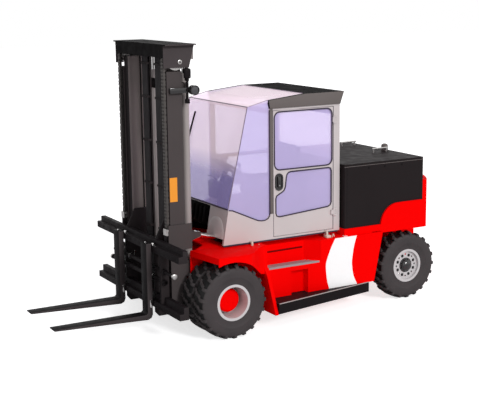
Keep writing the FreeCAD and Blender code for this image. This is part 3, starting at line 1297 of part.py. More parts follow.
def outer_mast():
    """Outer rails, their ties, lower side plates and the feet that turn on the tilt pins."""
    rail = outer_rail()
    foot = plate("MastFoot", "YZ", [
        ("outer_rear - 1", "outer_bottom"),
        ("mast_pivot_y", "mast_pivot_z - mast_boss_radius"),
        ("mast_pivot_y", "mast_pivot_z + mast_boss_radius"),
        ("outer_rear - 1", "mast_pivot_z + mast_boss_radius * 3"),
    ], "outer_half - outer_flange_depth + run_gap", "outer_half - rail_web")
    boss = rod("MastBoss", "X", "mast_boss_radius",
               ("outer_half - outer_flange_depth + run_gap", "mast_pivot_y", "mast_pivot_z"),
               "outer_flange_depth - rail_web - run_gap")
    stay = box("StayBar", ("stay_inner", "stay_inner + stay_width"),
               ("tie_front", "tie_front + tie_depth"), ("lower_tie_bottom + 1", "outer_top"))
    half = fuse("MastHalf", [rail, foot, boss, stay, chain_anchor()] + mast_lugs())
    across = ("-outer_half + rail_web", "outer_half - rail_web")
    ties = []
    for label, low, height in (("Low", "lower_tie_bottom", "tie_height"),
                               ("High", "upper_tie_bottom", "upper_tie_height")):
        ties.append(box(f"Tie{label}", across, ("tie_front", "tie_front + tie_depth"),
                        (low, f"{low} + {height}")))
        for side, start in (("Left", "outer_half - rail_web * 2"), ("Right", "-outer_half + rail_web")):
            ties.append(box(f"Gusset{label}{side}", (start, f"{start} + rail_web"),
                            ("outer_rear - 1", "tie_front + 1"), (low, f"{low} + {height}")))
    ties.append(box("TieFoot", across, ("tie_front", "lift_y + lift_radius"),
                    ("outer_bottom", "lift_foot - seat_gap")))
    solid = fuse("OuterMastSolid", [half, mirrored("MastHalfRight", half)] + ties)
    bores = rod("MastBore", "X", "mast_pin_radius + pin_gap", ("-frame_half", "mast_pivot_y", "mast_pivot_z"),
                "frame_half * 2")
    cheek = box("MastCheek", ("outer_half + seat_gap", "outer_half + seat_gap + side_plate"),
                ("side_plate_front", "side_plate_rear"), ("side_plate_low", "side_plate_high"))
    return group("OuterMastAndCheeks", [cut("OuterMast", solid, [bores]), cheek,
                                        mirrored("MastCheekRight", cheek)])


def mast_lugs():
    """Lugs behind the left rail with the pin of the tilt rod's eye."""
    half = "tilt_eye_width / 2 + pin_gap * 4"
    pieces = []
    for number, low, high in ((1, f"tilt_x - ({half}) - lug_plate", f"tilt_x - ({half})"),
                              (2, f"tilt_x + {half}", f"tilt_x + {half} + lug_plate")):
        pieces.append(plate(f"MastLug{number}", "YZ", [
            ("tie_front + tie_depth - 1", "tilt_eye_z - tilt_eye_radius * 1.6"),
            ("tilt_eye_y + tilt_pin_radius * 1.6", "tilt_eye_z - tilt_pin_radius"),
            ("tilt_eye_y + tilt_pin_radius * 1.6", "tilt_eye_z + tilt_pin_radius * 1.6"),
            ("tie_front + tie_depth - 1", "tilt_eye_z + tilt_eye_radius * 1.6"),
        ], low, high))
    pieces.append(rod("TiltEyePin", "X", "tilt_pin_radius",
                      (f"tilt_x - ({half}) - lug_plate", "tilt_eye_y", "tilt_eye_z"),
                      f"({half} + lug_plate) * 2"))
    span = ("tilt_eye_z - tilt_eye_radius * 1.6", "tilt_eye_z + tilt_eye_radius * 1.6")
    pieces.append(box("LugTie", (f"tilt_x - ({half}) - lug_plate", "outer_half - rail_web"),
                      ("tie_front", "tie_front + tie_depth"), span))
    pieces.append(box("LugGusset", ("outer_half - rail_web * 2", "outer_half - rail_web"),
                      ("outer_rear - 1", "tie_front + 1"), span))
    return pieces


def inner_mast():
    """Inner rails with ties behind them and the cap that carries the chain wheels."""
    rail = inner_rail()
    across = ("-inner_half + rail_web", "inner_half - rail_web")
    tie = box("InnerTie", across, ("inner_rear - 1", "inner_rear + inner_tie_depth"),
              ("inner_bottom", "inner_bottom + tie_height"))
    head = box("InnerHead", ("-inner_half", "inner_half"),
               ("inner_rear - rail_flange", "lift_y + lift_radius"),
               ("inner_top", "cap_top - cap_plate - seat_gap"))
    return fuse("InnerMastRails", [rail, mirrored("InnerRailRight", rail), tie, head])


def mast_cap():
    """Cap: top flange, front apron and two tapered side plates with the chain wheels' axles."""
    top = box("CapTop", ("-cap_flange_half", "cap_flange_half"), ("cap_front", "cap_rear"),
              ("cap_top - cap_plate", "cap_top"))
    apron = box("CapApron", ("-cap_half", "cap_half"), ("cap_front", "cap_front + cap_plate"),
                ("cap_apron", "cap_top - cap_plate + 1"))
    side = plate("CapSide", "YZ", [
        ("cap_front", "cap_foot"),
        ("cap_tail", "cap_foot"),
        ("cap_rear", "cap_top - cap_plate + 1"),
        ("cap_front", "cap_top - cap_plate + 1"),
    ], "cap_half - cap_plate", "cap_half")
    axle = rod("PulleyAxle", "X", "tilt_pin_radius", ("inner_half + seat_gap", "pulley_y", "pulley_z"),
               "cap_half - inner_half - seat_gap")
    return fuse("MastCap", [top, apron, side, mirrored("CapSideRight", side), axle,
                            mirrored("PulleyAxleRight", axle)])


def chain_wheels():
    """Chain wheels under the cap, fixed to it."""
    half = "pulley_width / 2"
    outline = [
        (f"chain_x - {half}", "tilt_pin_radius + seat_gap"),
        (f"chain_x + {half}", "tilt_pin_radius + seat_gap"),
        (f"chain_x + {half}", "pulley_radius"),
        (f"chain_x - {half}", "pulley_radius"),
    ]
    left = turned("ChainWheel", outline, "0", "pulley_y", "pulley_z")
    return group("ChainWheels", [left, mirrored("ChainWheelRight", left)])


def chains():
    """Front and rear runs of the two lift chains; the front ones show their links."""
    half = "chain_width / 2"
    runs = []
    front_y = "pulley_y - pulley_radius - chain_thick"
    rear_y = "pulley_y + pulley_radius"
    front_foot = "top_lip_high + chain_anchor"
    for label, low_y, foot in (("Front", front_y, front_foot), ("Rear", rear_y, "chain_anchor_z")):
        left = box(f"Chain{label}", (f"chain_x - {half}", f"chain_x + {half}"),
                   (low_y, f"{low_y} + chain_thick"), (foot, "pulley_z"))
        if label == "Front":
            left = cut("ChainLinks", left, [link_gaps(front_y, front_foot)])
        runs.append(group(f"Chains{label}", [left, mirrored(f"Chain{label}Right", left)]))
    return runs


def link_gaps(face, foot):
    """A row of notches in the front face of the left chain, one to each pair of links."""
    owner = DOC.addObject("PartDesign::Body", "LinkGaps")
    low, high = f"{foot} + chain_pitch / 2", f"{foot} + chain_pitch"
    sketch = sketch_of(owner, "LinkGapOutline", "YZ", [
        (along(f"{face} - 1"), low),
        (along(f"{face} + link_relief"), low),
        (along(f"{face} + link_relief"), high),
        (along(f"{face} - 1"), high),
    ], "chain_x - chain_width / 2 - 1")
    pad = owner.newObject("PartDesign::Pad", "LinkGapPad")
    pad.Profile = sketch
    pad.setExpression("Length", bound("chain_width + 2"))
    row = owner.newObject("PartDesign::LinearPattern", "LinkGapRow")
    row.Originals = [pad]
    row.Direction = (sketch, ["V_Axis"])
    steps = f"floor((pulley_z - ({foot})) / chain_pitch)"
    row.setExpression("Occurrences", bound(steps))
    row.setExpression("Length", bound(f"({steps} - 1) * chain_pitch"))
    owner.Tip = row
    return owner


def chain_anchor():
    """Bracket behind the outer mast's upper tie that holds the rear end of the left chain."""
    half = "chain_width / 2 + run_gap"
    return box("ChainAnchor", (f"chain_x - {half}", "outer_half - rail_web + 1"),
               ("tie_front + tie_depth - 1", "pulley_y + pulley_radius + chain_thick"),
               ("upper_tie_bottom", "chain_anchor_z - seat_gap"))


def lift_barrels():
    """Barrels of the two lift cylinders."""
    length = "lift_head - lift_foot"
    barrel_solid = rod("LiftBarrelSolid", "Z", "lift_radius", ("lift_x", "lift_y", "lift_foot"), length)
    bore = rod("LiftBore", "Z", "lift_rod_radius + pin_gap", ("lift_x", "lift_y", "lift_foot + tie_depth"),
               length)
    left = cut("LiftBarrel", barrel_solid, [bore])
    return group("LiftBarrels", [left, mirrored("LiftBarrelRight", left)])


def lift_rods():
    """Rods of the two lift cylinders, under the inner mast's head."""
    left = rod("LiftRod", "Z", "lift_rod_radius", ("lift_x", "lift_y", "rod_start"),
               "inner_top - seat_gap - rod_start")
    return group("LiftRods", [left, mirrored("LiftRodRight", left)])


def tilt_cylinder():
    """The left tilt cylinder: barrel with its base eye, and rod with its front eye."""
    eye_half = "tilt_eye_width / 2"
    lean = "atan((tilt_eye_z - tilt_base_z) / (tilt_base_y - tilt_eye_y))"
    reach = "sqrt((tilt_base_y - tilt_eye_y)^2 + (tilt_eye_z - tilt_base_z)^2)"
    tube_length = f"{reach} - tilt_gland - tilt_eye_radius - tilt_barrel_radius / 2"
    barrel_body = lay(rod("TiltBarrelTube", "Y", "tilt_barrel_radius", ("0", "0", "0"), tube_length),
                      lean, "tilt_gland")
    neck = lay(rod("TiltNeck", "Y", "tilt_eye_radius / 2", ("0", "0", "0"),
                   "tilt_eye_radius / 2 + tilt_barrel_radius / 2 + 2"), lean,
               f"{reach} - tilt_eye_radius - tilt_barrel_radius / 2 - 2")
    bore = lay(rod("TiltBore", "Y", "tilt_rod_radius + pin_gap", ("0", "0", "0"),
                   "tilt_rod_length - tilt_gland + tilt_stroke"), lean, "tilt_gland")
    base_eye = rod("TiltBaseEye", "X", "tilt_eye_radius",
                   (f"tilt_x - {eye_half}", "tilt_base_y", "tilt_base_z"), "tilt_eye_width")
    base_bore = rod("TiltBaseBore", "X", "tilt_pin_radius + pin_gap",
                    ("tilt_x - tilt_eye_width", "tilt_base_y", "tilt_base_z"), "tilt_eye_width * 2")
    left_barrel = cut("TiltBarrel", fuse("TiltBarrelSolid", [barrel_body, neck, base_eye]), [bore, base_bore])
    rod_body = lay(rod("TiltRodBar", "Y", "tilt_rod_radius", ("0", "0", "0"), "tilt_rod_length"), lean, "0")
    eye = rod("TiltRodEye", "X", "tilt_eye_radius", (f"tilt_x - {eye_half}", "tilt_eye_y", "tilt_eye_z"),
              "tilt_eye_width")
    eye_bore = rod("TiltEyeBore", "X", "tilt_pin_radius + eye_play",
                   ("tilt_x - tilt_eye_width", "tilt_eye_y", "tilt_eye_z"), "tilt_eye_width * 2")
    left_rod = cut("TiltRod", fuse("TiltRodSolid", [rod_body, eye]), [eye_bore])
    return left_barrel, left_rod


def lay(item, lean, distance):
    """Lay a cylinder along the line from the tilt rod's eye to the base pin."""
    item.setExpression("Placement.Base.x", bound("tilt_x"))
    item.setExpression("Placement.Base.y", bound(f"{along('tilt_eye_y')} + ({distance}) * cos({lean})"))
    item.setExpression("Placement.Base.z", bound(f"tilt_eye_z - ({distance}) * sin({lean})"))
    item.setExpression("Placement.Rotation.Angle", bound(f"90 deg + {lean}"))
    return item


def carriage():
    """Two bars with lips, inner posts, roller plates with rollers and the fork shifters."""
    bar_rear = "carriage_front + bar_depth"
    across = ("-carriage_half", "carriage_half")
    lip = (f"{bar_rear} - 1", f"{bar_rear} + lip_depth")
    pieces = [
        box("TopBar", across, ("carriage_front", bar_rear), ("top_bar_low", "top_bar_high")),
        box("LowBar", across, ("carriage_front", bar_rear), ("low_bar_low", "low_bar_high")),
        box("LowLip", across, lip, ("low_bar_low", "low_lip_high")),
        box("TopLip", across, lip, ("top_bar_low", "top_lip_high")),
    ]
    for label, height, turn, reach in (("Upper", "shifter_z", 1, "shifter_end"),
                                       ("Lower", "shifter_z - shifter_drop", -1, "shifter_far_end")):
        start = {1: "-inner_post_x", -1: f"-({reach})"}[turn]
        pieces.append(rod(f"Shifter{label}", "X", "shifter_radius", ("-inner_post_x", bar_rear, height),
                          "inner_post_x * 2"))
        pieces.append(rod(f"ShifterRod{label}", "X", "shifter_rod", (start, bar_rear, height),
                          f"{reach} + inner_post_x"))
    half = [box("InnerPost", ("inner_post_x - post_width / 2", "inner_post_x + post_width / 2"),
                (f"{bar_rear} - bar_depth * 0.8", f"{bar_rear} + lip_depth"),
                ("low_bar_low", "top_bar_high"))]
    half.append(plate("Stem", "YZ", [
        (f"{bar_rear} - 1", "stem_low + bar_depth"),
        (f"{bar_rear} + lip_depth * 2", "stem_low"),
        ("stem_rear", "stem_low"),
        ("stem_rear", "stem_high"),
        ("stem_neck", "stem_high"),
        (f"{bar_rear} - 1", "top_lip_high - lip_depth"),
    ], "stem_x - stem_plate", "stem_x"))
    for label, height in (("Low", "low_roller_z"), ("High", "high_roller_z")):
        half.append(rod(f"Roller{label}", "X", "roller_radius", ("stem_x - 1", "roller_y", height),
                        "roller_reach + 1"))
    half_solid = fuse("CarriageHalf", half)
    whole = fuse("Carriage", pieces + [half_solid, mirrored("CarriageHalfRight", half_solid)])
    lug = box("ChainLug", ("chain_x - chain_width / 2", "chain_x + chain_width / 2"),
              (f"{bar_rear} + lip_depth + seat_gap", "pulley_y - pulley_radius"),
              ("top_bar_high", "top_lip_high + chain_anchor - seat_gap"))
    return group("CarriageAndLugs", [whole, lug, mirrored("ChainLugRight", lug)])


def fork():
    """The left fork: shank with a hook over the upper bar and a tapered blade."""
    left_edge = "fork_x - fork_width / 2"
    right_edge = "fork_x + fork_width / 2"
    rear = "fork_face + fork_thick"
    profile = plate("ForkProfile", "YZ", [
        ("fork_tip", "fork_bottom + fork_thick - fork_tip_thick"),
        ("fork_tip + fork_taper * 1.5", "fork_bottom"),
        (f"{rear} - heel_radius", "fork_bottom"),
        (f"{rear} - heel_radius * 0.3", "fork_bottom + heel_radius * 0.3"),
        (rear, "fork_bottom + heel_radius"),
        (rear, "top_bar_high + seat_gap"),
        (f"{rear} + fork_hook", "top_bar_high + seat_gap"),
        (f"{rear} + fork_hook", "fork_high"),
        ("fork_face", "fork_high"),
        ("fork_face", "fork_bottom + fork_thick + heel_radius / 3"),
        ("fork_face - heel_radius / 3", "fork_bottom + fork_thick"),
        ("fork_tip", "fork_bottom + fork_thick"),
    ], left_edge, right_edge)
    plan = plate("ForkPlan", "XY", [
        (left_edge, f"{rear} + fork_hook"),
        (left_edge, "fork_tip + fork_taper"),
        ("fork_x - fork_tip_width / 2", "fork_tip"),
        ("fork_x + fork_tip_width / 2", "fork_tip"),
        (right_edge, "fork_tip + fork_taper"),
        (right_edge, f"{rear} + fork_hook"),
    ], "0", "fork_high + fork_thick")
    return common("Fork", profile, plan)


def lamp_arm():
    """Work lamp on its arm, on the outer face of the left outer rail."""
    bar = box("LampBar", ("outer_half", "arm_x"), ("arm_front", "lamp_y"),
              ("arm_z - arm_height / 2", "arm_z + arm_height / 2"))
    lamp = rod("Lamp", "X", "lamp_radius", ("arm_x - lamp_length / 2", "lamp_y", "arm_z"), "lamp_length")
    return fuse("LampArm", [bar, lamp])


def orange_plate():
    """Blank orange plate on the outer face of the left outer rail."""
    return box("OrangePlate", ("outer_half + seat_gap", "outer_half + seat_gap + orange_thick"),
               ("orange_front", "orange_rear"), ("orange_low", "orange_high"))


def lid_handles():
    """Two arched grab handles on the hood's lid."""
    pieces = []
    for label, middle in (("Far", "-handle_far_x"), ("Near", "handle_near_x")):
        foot = "hood_top + seat_gap"
        first = "handle_y - handle_span / 2"
        posts = [rod(f"HandlePost{label}{number}", "Z", "handle_tube", (middle, where, foot),
                     "handle_rise - handle_tube * 1.2")
                 for number, where in ((1, first), (2, f"{first} + handle_span"))]
        bar = rod(f"HandleBar{label}", "Y", "handle_tube",
                  (middle, f"{first} - handle_tube * 2", "hood_top + handle_rise - handle_tube"),
                  "handle_span + handle_tube * 4")
        pieces.append(fuse(f"Handle{label}", posts + [bar]))
    return group("LidHandles", pieces)


def pair(label, left):
    """A left node and its mirror image on the right."""
    node(f"{label}_left", left)
    node(f"{label}_right", mirrored(left.Name + "OtherSide", left))


node("frame", group("FrameAndDeck", [frame(), front_deck()]))
node("axles", group("Axles", [drive_axle(), steer_axle()]))
pair("fender", fender())
pair("side_body", side_body())
LOW_STEP = lower_step()
node("lower_steps", group("LowerSteps", [LOW_STEP, mirrored("LowerStepRight", LOW_STEP)]))
TREAD = tread_outline("Tread", "0", "step_niche_bottom + seat_gap", "step_niche_bottom + tread_plate")
node("step_treads", group("StepTreads", [TREAD, mirrored("TreadRight", TREAD)]))
node("battery_tray", battery_tray())
node("battery", box("Battery", ("-battery_half", "battery_half"), ("battery_front", "battery_rear"),
                    ("tray_floor + seat_gap", "battery_top")))
node("hood", hood())
node("hood_lid", hood_lid())
node("lid_handles", lid_handles())
node("counterweight", counterweight())
node("cab_shell", cab_shell())
node("cab_glass", cab_glass())
node("cab_roof", cab_roof())
DOOR_FRAME, DOOR_PANES = door()
pair("door_frame", DOOR_FRAME)
pair("door_glass", DOOR_PANES)
node("cab_mounts", cab_mounts())
node("seat", seat())
node("seat_base", seat_base())
node("steering_wheel", steering_wheel())
for part_label, shape in zip(("tyres_front", "rims_front", "drive_hub"), front_wheel()):
    pair(part_label, shape)
for part_label, shape in zip(("tyre_rear", "rim_rear", "hub_rear"), rear_wheel()):
    pair(part_label, shape)
pair("knuckle", knuckle())
node("outer_mast", outer_mast())
node("inner_mast", inner_mast())
node("mast_cap", mast_cap())
node("chain_wheels", chain_wheels())
for part_label, shape in zip(("chains_front", "chains_rear"), chains()):
    node(part_label, shape)
node("lift_barrels", lift_barrels())
node("lift_rods", lift_rods())
for part_label, shape in zip(("tilt_barrel", "tilt_rod"), tilt_cylinder()):
    pair(part_label, shape)
node("carriage", carriage())
pair("fork", fork())
node("lamp_arm", lamp_arm())
node("orange_plate", orange_plate())

DOC.recompute()
for thing in DOC.Objects:
    if "Invalid" in thing.State or "Error" in thing.State:
        raise RuntimeError(f"{thing.Name} failed: {thing.State}")
for thing in NODES:
    if thing.Shape.isNull() or not thing.Shape.isValid() or not thing.Shape.Solids:
        raise RuntimeError(f"{thing.Label} has no valid shape")
os.makedirs("parts", exist_ok=True)
for thing in NODES:
    thing.Shape.exportStep(f"parts/{thing.Label}.step")
    print(f"{thing.Label}: {len(thing.Shape.Solids)} solids, {thing.Shape.Volume / 1e9:.4f} m3")
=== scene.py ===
"""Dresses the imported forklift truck: paint, rubber, glass, fittings, camera and light.

Frame of the CAD: +X is the truck's left, -Y forwards, +Z up, metres.  Points are written with y from
the front axle, as the part's source does.  Most pairs are drawn on the left and mirrored.
"""

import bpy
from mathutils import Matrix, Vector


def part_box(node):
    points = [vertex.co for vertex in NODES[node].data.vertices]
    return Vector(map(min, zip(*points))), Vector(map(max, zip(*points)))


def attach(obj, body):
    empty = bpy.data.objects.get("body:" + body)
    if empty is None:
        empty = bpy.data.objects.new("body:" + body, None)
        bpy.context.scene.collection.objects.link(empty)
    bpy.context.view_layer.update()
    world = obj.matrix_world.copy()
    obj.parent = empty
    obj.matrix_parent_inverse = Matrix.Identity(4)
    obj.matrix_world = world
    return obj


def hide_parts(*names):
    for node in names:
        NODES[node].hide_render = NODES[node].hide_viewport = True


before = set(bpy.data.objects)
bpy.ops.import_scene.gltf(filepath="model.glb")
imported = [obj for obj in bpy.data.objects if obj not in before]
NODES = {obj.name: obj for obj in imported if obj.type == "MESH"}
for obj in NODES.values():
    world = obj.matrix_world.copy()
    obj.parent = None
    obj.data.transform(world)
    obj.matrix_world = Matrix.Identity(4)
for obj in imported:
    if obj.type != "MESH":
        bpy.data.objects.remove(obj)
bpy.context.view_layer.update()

import bmesh
import bpy
from math import cos, pi, radians, sin
from mathutils import Matrix, Vector

SIDES = ((1, "left"), (-1, "right"))
BOTH = (-1, 1)      # the sides that one shape is drawn on in turn; it ends unmirrored


def centre(name):
    """Middle of a CAD node's box."""
    low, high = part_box(name)
    return (Vector(low) + Vector(high)) / 2


FRONT = centre("drive_hub_left").y
WHEEL_Z = centre("drive_hub_left").z
REAR = centre("hub_rear_left").y - FRONT


def at(x, y, z):
    """A point whose y is measured from the front axle."""
    return Vector((x, FRONT + y, z))


# ---------------------------------------------------------------- mesh building

AXIS = 0.0005             # the radius at which a turned profile is closed on its axis
WELD = 1e-5               # points that are nearer than this are one
SOFT_OVER = 0.5           # edges where the faces turn by more radians are rounded


class Shape:
    """A mesh put together from small solids; with side -1 it is drawn mirrored, on the right."""

    def __init__(self, side=1):
        self.mesh = bmesh.new()
        self.side = side

    def spot(self, x, y, z):
        """A point on the shape's side, with y from the front axle."""
        return at(self.side * x, y, z)

    def knit(self, rings, closed=True, caps=True, loop=False):
        """Faces between rings of placed points that have the same count, perhaps capped or looped."""
        rows = [[self.mesh.verts.new(point) for point in ring] for ring in rings]
        count = len(rows[0])
        for first, second in zip(rows, rows[1:] + rows[:1] if loop else rows[1:]):
            for index in range(count if closed else count - 1):
                after = (index + 1) % count
                self.mesh.faces.new((first[index], first[after], second[after], second[index]))
        if caps:
            self.mesh.faces.new(rows[0][::-1])
            self.mesh.faces.new(rows[-1])
        return [vert for row in rows for vert in row]

    def skin(self, rings, closed=True, caps=True, loop=False):
        """Join rings of points of the shape's side."""
        return self.knit([[self.spot(*point) for point in ring] for ring in rings], closed, caps, loop)

    def soften(self, verts, width, segments):
        """Round the edges between some points' faces."""
        faces = list({face for vert in verts for face in vert.link_faces})
        bmesh.ops.recalc_face_normals(self.mesh, faces=faces)
        edges = {edge for vert in verts for edge in vert.link_edges if edge.calc_face_angle(0) > SOFT_OVER}
        bmesh.ops.bevel(self.mesh, geom=list(edges), offset=width, segments=segments, profile=0.5,
                        affect="EDGES")

    def prism(self, plane, outline, low, high, round_off=0.0, segments=2):
        """An outline in a plane, drawn out between two places on the third axis."""
        axis = "XYZ".index(({"X", "Y", "Z"} - set(plane)).pop())
        verts = self.skin([[(*point[:axis], level, *point[axis:]) for point in outline]
                           for level in (low, high)])
        if round_off:
            self.soften(verts, round_off, segments)

    def block(self, low, high, round_off=0.0, segments=2):
        """A block between two corners."""
        outline = [(low[0], low[1]), (high[0], low[1]), (high[0], high[1]), (low[0], high[1])]
        self.prism("XY", outline, low[2], high[2], round_off, segments)

    def lathe(self, axis, middle, profile, steps=48, closed=True):
        """A profile of (along the axis, radius) turned about an axis through a point."""
        rings = []
        for step in range(steps):
            angle = 2 * pi * step / steps
            ring = []
            for along, radius in profile:
                u, v = radius * cos(angle), radius * sin(angle)
                offset = {"X": (along, u, v), "Y": (u, along, v), "Z": (u, v, along)}[axis]
                ring.append([a + b for a, b in zip(middle, offset)])
            rings.append(ring)
        self.skin(rings, closed, caps=False, loop=True)

    def turned(self, axis, middle, profile, steps):
        """A full solid on the lathe: the profile's ends are joined to the axis."""
        self.lathe(axis, middle, [(profile[0][0], AXIS), *profile, (profile[-1][0], AXIS)], steps)

    def sweep(self, points, radius, sides, closed=False):
        """A round section carried along placed points, either capped or joined end to end."""
        rows = []
        normal = None
        last = len(points) - 1
        for index, point in enumerate(points):
            before = points[index - 1] if index or closed else point
            after = points[(index + 1) % len(points)] if index < last or closed else point
            ahead = (after - before).normalized()
            if normal is None:
                normal = ahead.orthogonal().normalized()
            normal = (normal - ahead * normal.dot(ahead)).normalized()
            other = ahead.cross(normal)
            rows.append([point + normal * radius * cos(2 * pi * step / sides)
                         + other * radius * sin(2 * pi * step / sides) for step in range(sides)])
        self.knit(rows, caps=not closed, loop=closed)

    def tube(self, path, radius, sides=8, smooth=4):
        """A round bar or hose that follows a path of points."""
        points = [self.spot(*point) for point in path]
        self.sweep(curve_points(points, smooth) if smooth else points, radius, sides)

    def ring(self, path, radius, closed=True, sides=8):
        """A round bead along a path of points, straight from one to the next."""
        self.sweep([self.spot(*point) for point in path], radius, sides, closed)

    def piece(self, name, look, body, replaces=(), sharp=35):
        """The finished object: one material, smooth but for its sharp edges, riding on a body."""
        bmesh.ops.remove_doubles(self.mesh, verts=self.mesh.verts[:], dist=WELD)
        bmesh.ops.recalc_face_normals(self.mesh, faces=self.mesh.faces[:])
        data = bpy.data.meshes.new(name)
        self.mesh.to_mesh(data)
        self.mesh.free()
        data.polygons.foreach_set("use_smooth", [True] * len(data.polygons))
        data.set_sharp_from_angle(angle=radians(sharp))
        data.materials.append(MATERIALS[look])
        item = bpy.data.objects.new(name, data)
        bpy.context.scene.collection.objects.link(item)
        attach(item, body)
        if replaces:
            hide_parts(*replaces)
        return item


def curve_points(points, steps):
    """Points on a smooth line through some points."""
    found = []
    last = len(points) - 1
    for index in range(last):
        p0, p1 = points[max(index - 1, 0)], points[index]
        p2, p3 = points[index + 1], points[min(index + 2, last)]
        for step in range(steps):
            t = step / steps
            found.append(0.5 * (2 * p1 + (p2 - p0) * t + (2 * p0 - 5 * p1 + 4 * p2 - p3) * t * t
                                + (3 * p1 - p0 - 3 * p2 + p3) * t * t * t))
    return found + [points[-1]]


def rounded(low, high, corner, steps=5):
    """A rectangle in a plane with round corners, as a list of points."""
    found = []
    for centre_u, centre_v, start in ((high[0] - corner, high[1] - corner, 0),
                                      (low[0] + corner, high[1] - corner, 90),
                                      (low[0] + corner, low[1] + corner, 180),
                                      (high[0] - corner, low[1] + corner, 270)):
        for step in range(steps + 1):
            angle = radians(start + 90 * step / steps)
            found.append((centre_u + corner * cos(angle), centre_v + corner * sin(angle)))
    return found


def node(tree, kind, operation=None, **values):
    """A shader node with some of its sockets set."""
    item = tree.nodes.new(kind)
    if operation:
        item.operation = operation
    for key, value in values.items():
        item.inputs[key].default_value = value
    return item


# ---------------------------------------------------------------- camera, light and floor

LENS_MM = 83.72
SENSOR_MM = 36
CAMERA_PLACE = (11.525, -5.686, 3.836)
CAMERA_TURN = radians(60.881)
CAMERA_PITCH = radians(11.282)
CAMERA_ROLL = radians(-0.765)
SUN_POWER = 1.55
SUN_AIM = (-0.88, -0.08, -0.46)
SUN_SIZE = radians(12)
SKY_POWER = 0.56
FLOOR_HALF = 60
FLOOR_DROP = 0.0005
FLOOR_GLOW = 0.7


def set_camera():
    """Camera at the photograph's viewing angle."""
    data = bpy.data.cameras.new("Camera")
    data.lens = LENS_MM
    data.sensor_width = SENSOR_MM
    data.clip_end = 200
    camera = bpy.data.objects.new("Camera", data)
    bpy.context.scene.collection.objects.link(camera)
    back = Vector((sin(CAMERA_TURN) * cos(CAMERA_PITCH), -cos(CAMERA_TURN) * cos(CAMERA_PITCH),
                   sin(CAMERA_PITCH)))
    right = Vector((cos(CAMERA_TURN), sin(CAMERA_TURN), 0))
    up = back.cross(right)
    level = Matrix((right, up, back)).transposed().to_4x4()
    camera.matrix_world = (Matrix.Translation(at(*CAMERA_PLACE)) @ level
                           @ Matrix.Rotation(CAMERA_ROLL, 4, "Z"))
    bpy.context.scene.camera = camera


def set_sun():
    """A broad sun, from the camera's side."""
    data = bpy.data.lights.new("Sun", "SUN")
    data.energy = SUN_POWER
    data.angle = SUN_SIZE
    item = bpy.data.objects.new("Sun", data)
    item.rotation_euler = Vector(SUN_AIM).to_track_quat("-Z", "Y").to_euler()
    bpy.context.scene.collection.objects.link(item)


def set_world():
    """White to the camera, glossy and transmission rays, and a plain soft light to the rest."""
    world = bpy.data.worlds.new("Studio")
    bpy.context.scene.world = world
    world.use_nodes = True
    tree = world.node_tree
    tree.nodes.clear()
    path = node(tree, "ShaderNodeLightPath")
    soft = node(tree, "ShaderNodeBackground", Color=(1.0, 0.99, 1.0, 1), Strength=SKY_POWER)
    white = node(tree, "ShaderNodeBackground", Color=(1, 1, 1, 1), Strength=1.0)
    pick = node(tree, "ShaderNodeMixShader")
    out = node(tree, "ShaderNodeOutputWorld")
    shown = path.outputs["Is Camera Ray"]
    for ray in ("Is Transmission Ray", "Is Glossy Ray"):
        either = node(tree, "ShaderNodeMath", "MAXIMUM")
        tree.links.new(shown, either.inputs[0])
        tree.links.new(path.outputs[ray], either.inputs[1])
        shown = either.outputs[0]
    tree.links.new(shown, pick.inputs[0])
    tree.links.new(soft.outputs[0], pick.inputs[1])
    tree.links.new(white.outputs[0], pick.inputs[2])
    tree.links.new(pick.outputs[0], out.inputs[0])


def set_floor():
    """Pale floor: a matt surface that keeps shadows, with a little white for the camera's rays."""
    half = FLOOR_HALF
    mesh = bpy.data.meshes.new("Floor")
    mesh.from_pydata([(-half, -half, 0), (half, -half, 0), (half, half, 0), (-half, half, 0)], [],
                     [(0, 1, 2, 3)])
    floor = bpy.data.objects.new("Floor", mesh)
    bpy.context.scene.collection.objects.link(floor)
    floor.location.z = -FLOOR_DROP
    paint = bpy.data.materials.new("Floor")
    paint.use_nodes = True
    tree = paint.node_tree
    tree.nodes.clear()
    matt = node(tree, "ShaderNodeBsdfDiffuse", Color=(0.8, 0.8, 0.81, 1))
    glow = node(tree, "ShaderNodeEmission")
    path = node(tree, "ShaderNodeLightPath")
    level = node(tree, "ShaderNodeMath", "MULTIPLY")
    level.inputs[1].default_value = FLOOR_GLOW
    total = node(tree, "ShaderNodeAddShader")
    out = node(tree, "ShaderNodeOutputMaterial")
    tree.links.new(path.outputs["Is Camera Ray"], level.inputs[0])
    tree.links.new(level.outputs[0], glow.inputs["Strength"])
    tree.links.new(matt.outputs[0], total.inputs[0])
    tree.links.new(glow.outputs[0], total.inputs[1])
    tree.links.new(total.outputs[0], out.inputs[0])
    mesh.materials.append(paint)


# ---------------------------------------------------------------- materials

REFLECTION_BAND_LOW, REFLECTION_BAND_HIGH = 1.70, 1.96          # heights between which the windscreen's painted reflection fades from a darker foot to a lighter top
ROOF_LOW, ROOF_HIGH = 2.47, 2.50          # heights above which a pane is the roof's
FOOT_ALPHA, TOP_ALPHA, SIDE_ALPHA, ROOF_ALPHA = 0.44, 0.34, 0.46, 0.12
# the panes glow, though they are no lamp: painted light, stronger on the windscreen than at the sides
FRONT_PAINTED_GLOW, SIDE_PAINTED_GLOW = 0.34, 0.10


def linear(levels):
    """A colour written as 0-255 display levels, as the shader wants it."""
    shares = [level / 255 for level in levels]
    return [share / 12.92 if share <= 0.04045 else ((share + 0.055) / 1.055) ** 2.4 for share in shares]


def dimmed(colour, share):
    """A colour times a number."""
    return [part * share for part in colour]


